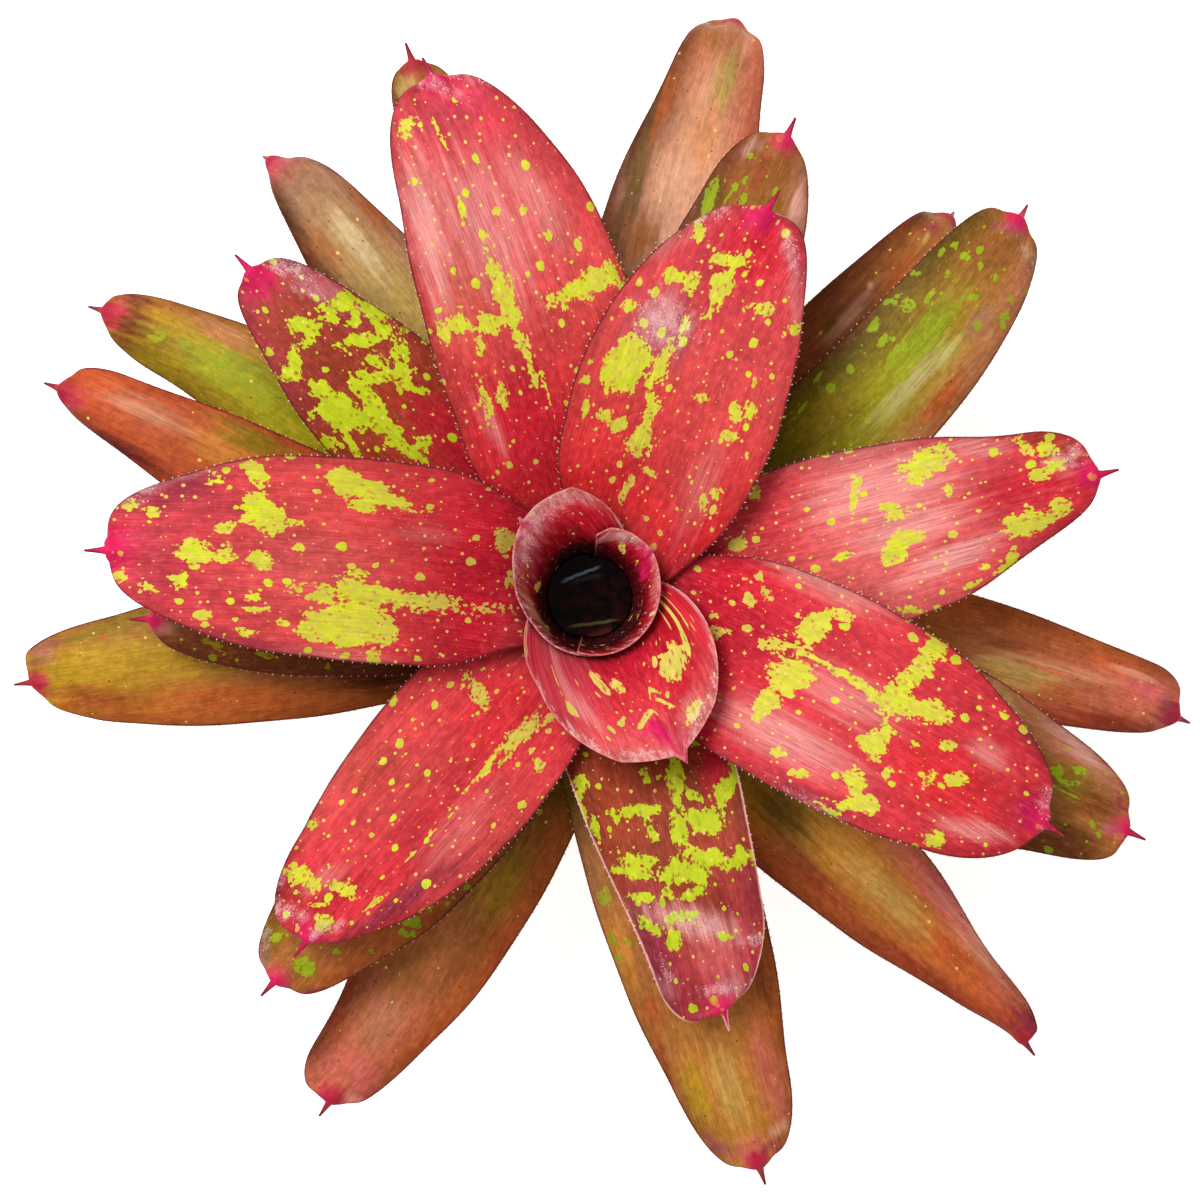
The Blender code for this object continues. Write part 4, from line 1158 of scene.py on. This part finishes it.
def tooth_cones(sheet, normals, dice):
    """Small spines along both margins: for each, four corners sunk in the margin and a point outside it."""
    corners = []
    where = []
    for column, inner in ((0, 1), (-1, -2)):
        line = sheet.points[:, column]
        outward = line - sheet.points[:, inner]
        outward /= np.linalg.norm(outward, axis=1, keepdims=True)
        length = np.append(0.0, np.cumsum(np.linalg.norm(np.diff(line, axis=0), axis=1)))
        on_blade = (sheet.share[:, 0] > 0.05) & (sheet.back[:, 0] > 0.0)
        low = length[on_blade][0]
        high = length[on_blade][-1] - TEETH_STOP
        count = int((high - low) / TOOTH_SPACING)
        spots = low + TOOTH_SPACING * (np.arange(count) + dice.uniform(-0.25, 0.25, count))
        sizes = dice.uniform(0.65, 1.15, count)
        rows = np.interp(spots, length, np.arange(len(length)))
        for row, size in zip(rows, sizes):
            below = int(row)
            part = row - below
            centre = line[below] * (1.0 - part) + line[below + 1] * part
            ahead = line[below + 1] - line[below]
            ahead /= np.linalg.norm(ahead)
            out = outward[below]
            up = normals[below, column]
            base = centre - TOOTH_ROOT * out
            wide = TOOTH_HALF_WIDTH * size * ahead
            high_side = 0.3 * size * RIM_THICKNESS * 3.0 * up
            point = centre + TOOTH_LENGTH * size * (out + TOOTH_LEAN * ahead)
            corners.append([base + wide, base + high_side, base - wide, base - high_side, point])
            where.append((below, column))
    return np.array(corners), where


def add_mesh(name, points, faces, sizes):
    """A smooth mesh in the scene, with sharp edges only at steep folds."""
    mesh = bpy.data.meshes.new(name)
    mesh.vertices.add(len(points))
    mesh.vertices.foreach_set("co", (points * MM).astype(np.float32).ravel())
    mesh.loops.add(len(faces))
    mesh.loops.foreach_set("vertex_index", faces.astype(np.int32))
    mesh.polygons.add(len(sizes))
    starts = np.append(0, np.cumsum(sizes)[:-1])
    mesh.polygons.foreach_set("loop_start", starts.astype(np.int32))
    mesh.update(calc_edges=True)
    mesh.validate()
    mesh.shade_smooth()
    mesh.set_sharp_from_angle(angle=math.radians(60))
    piece = bpy.data.objects.new(name, mesh)
    bpy.context.scene.collection.objects.link(piece)
    return piece


def add_vectors(mesh, name, values):
    """Three numbers for each point of the mesh, which its material reads."""
    attribute = mesh.attributes.new(name, "FLOAT_VECTOR", "POINT")
    attribute.data.foreach_set("vector", values.astype(np.float32).ravel())


def grid_faces(rows, columns):
    """The quads of both faces of a leaf and of the strip round its margin."""
    row, column = np.meshgrid(np.arange(rows - 1), np.arange(columns - 1), indexing="ij")
    a = (row * columns + column).ravel()
    upper = np.stack([a, a + columns, a + columns + 1, a + 1], axis=1)
    lower = upper[:, ::-1] + rows * columns
    rim = [*range(columns)]
    rim += [row * columns + columns - 1 for row in range(1, rows)]
    rim += [(rows - 1) * columns + column for column in range(columns - 2, -1, -1)]
    rim += [row * columns for row in range(rows - 2, 0, -1)]
    rim = np.array(rim)
    after = np.roll(rim, -1)
    count = rows * columns
    strip = np.stack([rim, after, after + count, rim + count], axis=1)
    return np.concatenate([upper, lower, strip])


def add_leaf(name, sheet, look, seed, teeth=True):
    """One closed leaf with its marginal teeth, and the values that its material reads."""
    dice = np.random.default_rng(seed)
    normals = grid_normals(sheet.points)
    half = 0.5 * sheet.thickness[..., None] * normals
    rows, columns = sheet.back.shape
    points = np.concatenate([(sheet.points + half).reshape(-1, 3), (sheet.points - half).reshape(-1, 3)])
    quads = grid_faces(rows, columns)
    faces = quads.ravel()
    sizes = np.full(len(quads), 4)
    place = np.stack([sheet.across, sheet.back, np.full(sheet.back.shape, 7.3 * seed)], axis=-1)
    field = np.stack(
        [mark_depth(sheet, look), soft_field(sheet, look.sheens), soft_field(sheet, look.scurfs)], axis=-1
    )
    colour = tint(sheet, look)
    upper_form = np.stack([sheet.edge, np.ones(sheet.back.shape), sheet.share], axis=-1)
    lower_form = np.stack([sheet.edge, np.zeros(sheet.back.shape), sheet.share], axis=-1)
    values = {
        "place": [place.reshape(-1, 3)] * 2,
        "field": [field.reshape(-1, 3)] * 2,
        "tint": [colour.reshape(-1, 3)] * 2,
        "form": [upper_form.reshape(-1, 3), lower_form.reshape(-1, 3)],
    }
    if teeth:
        cones, where = tooth_cones(sheet, normals, dice)
        first = len(points) + 5 * np.arange(len(cones))[:, None]
        pattern = np.array([0, 1, 4, 1, 2, 4, 2, 3, 4, 3, 0, 4])
        base = np.array([3, 2, 1, 0])
        faces = np.concatenate([faces, (first + pattern).ravel(), (first + base).ravel()])
        sizes = np.concatenate([sizes, np.full(4 * len(cones), 3), np.full(len(cones), 4)])
        points = np.concatenate([points, cones.reshape(-1, 3)])
        index = tuple(np.array(where).T)
        for key, grid in (("place", place), ("field", field), ("tint", colour)):
            values[key].append(np.repeat(grid[index], 5, axis=0))
        tooth = np.tile(np.array([[-0.3, 1.0, 0.5]] * 4 + [[-1.0, 1.0, 0.5]]), (len(cones), 1))
        values["form"].append(tooth)
    piece = add_mesh(name + "_fine", points, faces, sizes)
    for key, parts in values.items():
        add_vectors(piece.data, key, np.concatenate(parts))
    return piece


class Shader:
    """Short ways to add nodes to one material. Each gives the socket that the next one takes."""

    def __init__(self, name):
        self.material = bpy.data.materials.new(name)
        self.material.use_nodes = True
        self.nodes = self.material.node_tree.nodes
        self.links = self.material.node_tree.links
        self.surface = self.nodes["Principled BSDF"]

    def feed(self, value, socket):
        if isinstance(value, bpy.types.NodeSocket):
            self.links.new(value, socket)
        elif isinstance(value, tuple) and socket.type == "RGBA":
            socket.default_value = (*value, 1.0)
        else:
            socket.default_value = value

    def read(self, name):
        node = self.nodes.new("ShaderNodeAttribute")
        node.attribute_name = name
        return node.outputs["Vector"]

    def split(self, vector):
        node = self.nodes.new("ShaderNodeSeparateXYZ")
        self.feed(vector, node.inputs[0])
        return tuple(node.outputs)

    def join(self, x, y, z):
        node = self.nodes.new("ShaderNodeCombineXYZ")
        for value, socket in zip((x, y, z), node.inputs):
            self.feed(value, socket)
        return node.outputs[0]

    def maths(self, operation, *values):
        node = self.nodes.new("ShaderNodeMath")
        node.operation = operation
        for value, socket in zip(values, node.inputs):
            self.feed(value, socket)
        return node.outputs[0]

    def times(self, *values):
        result = values[0]
        for value in values[1:]:
            result = self.maths("MULTIPLY", result, value)
        return result

    def plus(self, *values):
        result = values[0]
        for value in values[1:]:
            result = self.maths("ADD", result, value)
        return result

    def ease(self, value, low, high, start=0.0, end=1.0):
        """From start to end, with flat ends, while the value goes from low to high."""
        node = self.nodes.new("ShaderNodeMapRange")
        node.interpolation_type = "SMOOTHSTEP"
        for key, number in (("Value", value), ("From Min", low), ("From Max", high)):
            self.feed(number, node.inputs[key])
        for key, number in (("To Min", start), ("To Max", end)):
            self.feed(number, node.inputs[key])
        return node.outputs["Result"]

    def mix(self, share, first, second):
        node = self.nodes.new("ShaderNodeMix")
        node.data_type = "RGBA"
        for value, key in ((share, 0), (first, 6), (second, 7)):
            self.feed(value, node.inputs[key])
        return node.outputs[2]

    def scaled(self, colour, factor):
        node = self.nodes.new("ShaderNodeVectorMath")
        node.operation = "SCALE"
        self.feed(colour, node.inputs[0])
        self.feed(factor, node.inputs["Scale"])
        return node.outputs[0]

    def bump(self, height, strength, distance):
        """Roughens the surface by a height, of which 1 stands this many millimetres high."""
        node = self.nodes.new("ShaderNodeBump")
        self.feed(height, node.inputs["Height"])
        node.inputs["Strength"].default_value = strength
        node.inputs["Distance"].default_value = distance * MM
        self.feed(node.outputs["Normal"], self.surface.inputs["Normal"])

    def place(self):
        """The place on the object, in metres from its origin."""
        return self.nodes.new("ShaderNodeTexCoord").outputs["Object"]

    def noise(self, vector, detail=2.0, roughness=0.5):
        node = self.nodes.new("ShaderNodeTexNoise")
        self.feed(vector, node.inputs["Vector"])
        self.feed(1.0, node.inputs["Scale"])
        self.feed(detail, node.inputs["Detail"])
        self.feed(roughness, node.inputs["Roughness"])
        return node.outputs["Fac"]

    def cells(self, vector, randomness=1.0, metric="EUCLIDEAN"):
        """The distance from the nearest of the scattered points, and three random numbers of that point."""
        node = self.nodes.new("ShaderNodeTexVoronoi")
        node.voronoi_dimensions = "2D"
        node.distance = metric
        self.feed(vector, node.inputs["Vector"])
        self.feed(1.0, node.inputs["Scale"])
        self.feed(randomness, node.inputs["Randomness"])
        colour = self.nodes.new("ShaderNodeSeparateColor")
        self.feed(node.outputs["Color"], colour.inputs[0])
        return node.outputs["Distance"], tuple(colour.outputs)


def spots(shader, x, y, seed, size, share, smallest, largest, ragged, stretch=1.3):
    """Scattered spots, one to a cell of this size in some of the cells. Small ones are the most common."""
    shifted = shader.plus(shader.times(x, 1.0 / size), shader.times(seed, 1.0))
    vector = shader.join(shifted, shader.times(y, 1.0 / (size * stretch)), 0.0)
    distance, (first, second, _) = shader.cells(vector)
    radius = shader.plus(smallest, shader.times(shader.maths("POWER", first, 1.8), largest - smallest))
    inside = shader.maths("SUBTRACT", radius, shader.times(distance, size))
    inside = shader.plus(inside, ragged)
    there = shader.ease(shader.maths("SUBTRACT", share, second), -0.001, 0.001)
    return shader.times(shader.ease(inside, -0.07, 0.07), there)


def leaf_material(name, look):
    """A leaf's skin: ground, sheen with painted highlights, blotches, spots, tip, rim darkened as painted
    shade, margin, dust, underside.
    """
    shader = Shader(name)
    x, y, seed = shader.split(shader.read("place"))
    depth, sheen_and_highlight, scurf = shader.split(shader.read("field"))
    edge, side, share = shader.split(shader.read("form"))
    colour = shader.read("tint")

    def stretched(across, along):
        return shader.join(shader.times(x, across), shader.times(y, along), seed)

    fibres = shader.noise(stretched(2.4, 0.07), 3.0, 0.6)
    broad = shader.noise(stretched(0.07, 0.035), 3.0)
    cell_vector = shader.join(shader.plus(shader.times(x, 1.15), seed), shader.times(y, 0.85), 0.0)
    _, (cell, other_cell, _) = shader.cells(cell_vector, 0.85, "CHEBYCHEV")
    fingers = shader.noise(stretched(0.5, 0.2), 2.0)
    lumps = shader.noise(stretched(0.22, 0.15), 2.0)

    # The ground colour, darkened and lightened along the fibres, with its sheen: pale streaks of the leaf and
    # painted highlights
    mottle = shader.noise(stretched(0.5, 0.3), 4.0, 0.65)
    hairs = shader.noise(stretched(7.0, 0.16), 2.0, 0.6)
    colour = shader.scaled(colour, shader.ease(broad, 0.25, 0.75, 0.80, 1.14))
    colour = shader.scaled(colour, shader.ease(mottle, 0.32, 0.68, 0.85, 1.16))
    colour = shader.scaled(colour, shader.ease(fibres, 0.3, 0.7, 0.85, 1.13))
    colour = shader.scaled(colour, shader.ease(hairs, 0.35, 0.65, 0.92, 1.06))
    streaks_and_highlights = shader.times(sheen_and_highlight, shader.ease(fibres, 0.25, 0.72, 0.15, 0.85))
    colour = shader.mix(streaks_and_highlights, colour, look.sheen_colour)
    pale_hairs = shader.times(shader.ease(hairs, 0.56, 0.68), shader.ease(mottle, 0.4, 0.6, 0.0, 0.2))
    colour = shader.mix(pale_hairs, colour, look.sheen_colour)

    # The blotches, with ragged edges and small holes
    ragged = shader.times(
        shader.plus(
            shader.times(shader.maths("SUBTRACT", cell, 0.5), 1.5),
            shader.times(shader.maths("SUBTRACT", fingers, 0.5), 4.5),
            shader.times(shader.maths("SUBTRACT", lumps, 0.5), 6.0),
        ),
        look.ragged,
    )
    marked = shader.ease(shader.plus(depth, ragged), -0.12, 0.12)
    holes = shader.times(shader.ease(other_cell, 0.9, 0.93), shader.ease(depth, 0.0, 5.0, 0.8, 0.2))
    marked = shader.maths("SUBTRACT", marked, shader.times(marked, holes))
    patchy_fade = shader.ease(lumps, 0.35, 0.65, 0.0, 0.4)
    faded = shader.maths("MAXIMUM", patchy_fade, shader.ease(share, 0.1, 0.5, 0.75, 0.0))
    mark = shader.mix(faded, look.mark_colour, look.other_mark)
    mark = shader.scaled(mark, shader.ease(fibres, 0.3, 0.7, 0.88, 1.06))
    mark = shader.scaled(mark, shader.ease(mottle, 0.35, 0.65, 0.88, 1.05))

    # The spots, thickest near the blotches, then the flecks and the freckles
    roughen = shader.times(shader.maths("SUBTRACT", cell, 0.5), 0.3)
    roughen = shader.plus(roughen, shader.times(shader.maths("SUBTRACT", fingers, 0.5), 1.6))
    near_marks = shader.ease(depth, -7.0, 0.0, 0.0, 0.3)
    big = spots(shader, x, y, seed, 7.5, shader.plus(near_marks, look.spot_share), 0.3, 1.5, roughen)
    crowded = shader.ease(lumps, 0.35, 0.65, 0.35, 1.3)
    small = spots(shader, x, y, seed, 4.0, shader.times(crowded, look.fleck_share), 0.14, 0.6, 0.0, 1.2)
    marked = shader.maths("MAXIMUM", marked, big)
    colour = shader.mix(marked, colour, mark)
    colour = shader.mix(shader.times(small, 0.8), colour, look.fleck_colour)
    if look.freckle_share:
        freckles = spots(shader, x, y, shader.plus(seed, 5.0), 4.6, look.freckle_share, 0.14, 0.42, 0.0, 1.0)
        colour = shader.mix(shader.times(freckles, 0.7), colour, DARK_BROWN)

    # The rim darkened as painted shade of the leaf's rounding, the coloured tip, the margin and the pale
    # teeth
    painted_edge_shade = shader.ease(shader.plus(edge, shader.times(lumps, 3.0)), 0.5, 8.0, 0.72, 1.0)
    colour = shader.scaled(colour, painted_edge_shade)
    tip = shader.times(
        shader.ease(shader.plus(y, shader.times(lumps, 4.0)), 2.0, 11.0, 1.0, 0.0),
        shader.ease(shader.plus(shader.maths("ABSOLUTE", x), shader.times(fingers, 3.0)), 2.5, 8.5, 1.0, 0.0),
    )
    colour = shader.mix(shader.times(tip, 0.85), colour, look.tip_colour)
    margin = shader.ease(shader.plus(edge, shader.times(lumps, 0.9)), 0.55, 1.35, 0.85, 0.0)
    colour = shader.mix(margin, colour, look.edge_colour)
    colour = shader.mix(shader.ease(edge, -0.9, -0.1, 1.0, 0.0), colour, PEARL)
    rough = shader.ease(fibres, 0.3, 0.7, 0.36, 0.5)
    # The dust, on leaves that have any
    if look.scurfs:
        patchy = shader.times(scurf, shader.ease(fingers, 0.35, 0.6, 0.4, 1.2))
        dusty = spots(shader, x, y, shader.plus(seed, 9.0), 0.6, patchy, 0.06, 0.28, 0.0, 1.1)
        film = shader.times(scurf, shader.ease(mottle, 0.4, 0.65, 0.1, 0.75))
        dusty = shader.maths("MAXIMUM", shader.times(dusty, 0.6), shader.times(film, 0.6))
        colour = shader.mix(dusty, colour, PEARL)
        rough = shader.plus(rough, shader.times(dusty, 0.2))

    # The underside, with pale grey bands across it
    bands = shader.noise(stretched(0.05, 0.35), 2.0)
    under = shader.mix(shader.ease(bands, 0.35, 0.65, 0.35, 0.65), shader.read("tint"), SILVER)
    under = shader.scaled(under, shader.ease(fibres, 0.3, 0.7, 0.62, 0.85))
    colour = shader.mix(side, under, colour)
    shader.feed(colour, shader.surface.inputs["Base Color"])

    shader.feed(rough, shader.surface.inputs["Roughness"])
    shader.surface.inputs["Specular IOR Level"].default_value = 0.07
    grain = shader.noise(stretched(3.5, 0.9), 2.0, 0.6)
    height = shader.plus(shader.times(fibres, 0.8), shader.times(grain, 0.35))
    shader.bump(height, 0.35, 0.25)
    return shader.material


def add_leaves():
    """All the leaves, from the innermost outwards."""
    for order, cup in enumerate(CUPS):
        look = LOOKS[cup.name]
        piece = add_leaf(cup.name, cup_sheet(cup, order), look, order + 1, teeth=False)
        piece.data.materials.append(leaf_material(cup.name + "_skin", look))
        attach(piece, "root")
        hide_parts(cup.name)
    for number, blade in enumerate(BLADES):
        order = len(CUPS) + number
        look = LOOKS[blade.name]
        piece = add_leaf(blade.name, blade_sheet(blade, order), look, order + 1)
        piece.data.materials.append(leaf_material(blade.name + "_skin", look))
        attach(piece, "root")
        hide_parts(blade.name)


def water_material():
    """Dark water with painted reflections of lights and thin streaks of film on it."""
    shader = Shader("dark_water")
    shader.surface.inputs["Roughness"].default_value = 0.06
    shader.surface.inputs["IOR"].default_value = 1.33
    shader.surface.inputs["Specular IOR Level"].default_value = 0.1
    where = shader.place()
    x, y, _ = shader.split(shader.scaled(where, 1.0 / MM))
    ripple = shader.noise(shader.scaled(where, 260.0), 2.0)
    colour = shader.mix(shader.ease(ripple, 0.35, 0.65), shade(8, 2, 2), shade(40, 8, 6))
    # The pale blue and olive streaks are painted reflections of lights; the brown one is film.
    for film in WATER_GLINTS_AND_FILMS:
        turn = math.radians(film.turn)
        dx = shader.plus(x, -film.x)
        dy = shader.plus(y, -film.y)
        along = shader.plus(shader.times(dx, math.cos(turn)), shader.times(dy, math.sin(turn)))
        aside = shader.plus(shader.times(dy, math.cos(turn)), shader.times(dx, -math.sin(turn)))
        aside = shader.plus(aside, shader.times(shader.maths("SUBTRACT", ripple, 0.5), 1.2))
        near = shader.ease(shader.maths("ABSOLUTE", aside), 0.15, film.width, 1.0, 0.0)
        inside = shader.ease(shader.maths("ABSOLUTE", along), 0.6 * film.reach, film.reach, 1.0, 0.0)
        near = shader.times(near, inside)
        colour = shader.mix(shader.times(near, film.strength), colour, film.colour)
    shader.feed(colour, shader.surface.inputs["Base Color"])
    shader.bump(ripple, 0.2, 1.0)
    return shader.material


def stem_material():
    """Brown bark with fibres along the stem and leaf scars round it."""
    shader = Shader("stem_bark")
    x, y, z = shader.split(shader.place())

    def stretched(aside, upward):
        return shader.join(shader.times(x, aside), shader.times(y, aside), shader.times(z, upward))

    fibres = shader.noise(stretched(500.0, 90.0), 3.0)
    scars = shader.noise(stretched(40.0, 420.0), 2.0)
    colour = shader.mix(shader.ease(fibres, 0.35, 0.65), shade(84, 58, 36), shade(150, 116, 76))
    colour = shader.mix(shader.ease(scars, 0.45, 0.6), colour, shade(58, 38, 24))
    shader.feed(colour, shader.surface.inputs["Base Color"])
    shader.feed(shader.ease(fibres, 0.3, 0.7, 0.7, 0.9), shader.surface.inputs["Roughness"])
    shader.bump(shader.plus(fibres, scars), 0.6, 0.8)
    return shader.material


def finish_kept_nodes():
    """The stem and the water keep their solids and get better materials."""
    for node, material in (("stem", stem_material()), ("tank_water", water_material())):
        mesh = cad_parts[node].data
        mesh.materials.clear()
        mesh.materials.append(material)


def add_stage():
    """A plain pale floor, a soft wide light overhead and a camera that looks straight down."""
    half = FLOOR_HALF_SIZE
    mesh = bpy.data.meshes.new("floor")
    corners = [(-half, -half, 0.0), (half, -half, 0.0), (half, half, 0.0), (-half, half, 0.0)]
    mesh.from_pydata(corners, [], [(0, 1, 2, 3)])
    floor = bpy.data.objects.new("floor", mesh)
    bpy.context.scene.collection.objects.link(floor)
    shader = Shader("pale_floor")
    grain = shader.noise(shader.scaled(shader.place(), 60.0), 3.0)
    colour = shader.mix(grain, (0.90, 0.90, 0.90), (0.93, 0.93, 0.93))
    shader.feed(colour, shader.surface.inputs["Base Color"])
    shader.surface.inputs["Roughness"].default_value = 0.9
    shader.surface.inputs["Specular IOR Level"].default_value = 0.1
    shader.surface.inputs["Emission Color"].default_value = (1.0, 1.0, 1.0, 1.0)
    shader.surface.inputs["Emission Strength"].default_value = 0.6
    mesh.materials.append(shader.material)

    world = bpy.data.worlds.new("soft_room")
    world.use_nodes = True
    background = world.node_tree.nodes["Background"]
    background.inputs["Color"].default_value = (1.0, 1.0, 1.0, 1.0)
    background.inputs["Strength"].default_value = 0.55
    bpy.context.scene.world = world

    lamp = bpy.data.lights.new("softbox", "AREA")
    lamp.shape = "DISK"
    lamp.size = LAMP_SIZE
    lamp.energy = 26.0
    box = bpy.data.objects.new("softbox", lamp)
    box.location = LAMP_PLACE
    direction = -box.location
    box.rotation_euler = direction.to_track_quat("-Z", "Y").to_euler()
    bpy.context.scene.collection.objects.link(box)

    camera_data = bpy.data.cameras.new("camera")
    camera_data.sensor_width = 36.0
    camera_data.lens = 121.26
    camera = bpy.data.objects.new("camera", camera_data)
    camera.location = CAMERA_PLACE
    bpy.context.scene.collection.objects.link(camera)
    bpy.context.scene.camera = camera
    bpy.context.scene.view_settings.view_transform = "Standard"


add_leaves()
finish_kept_nodes()
add_stage()
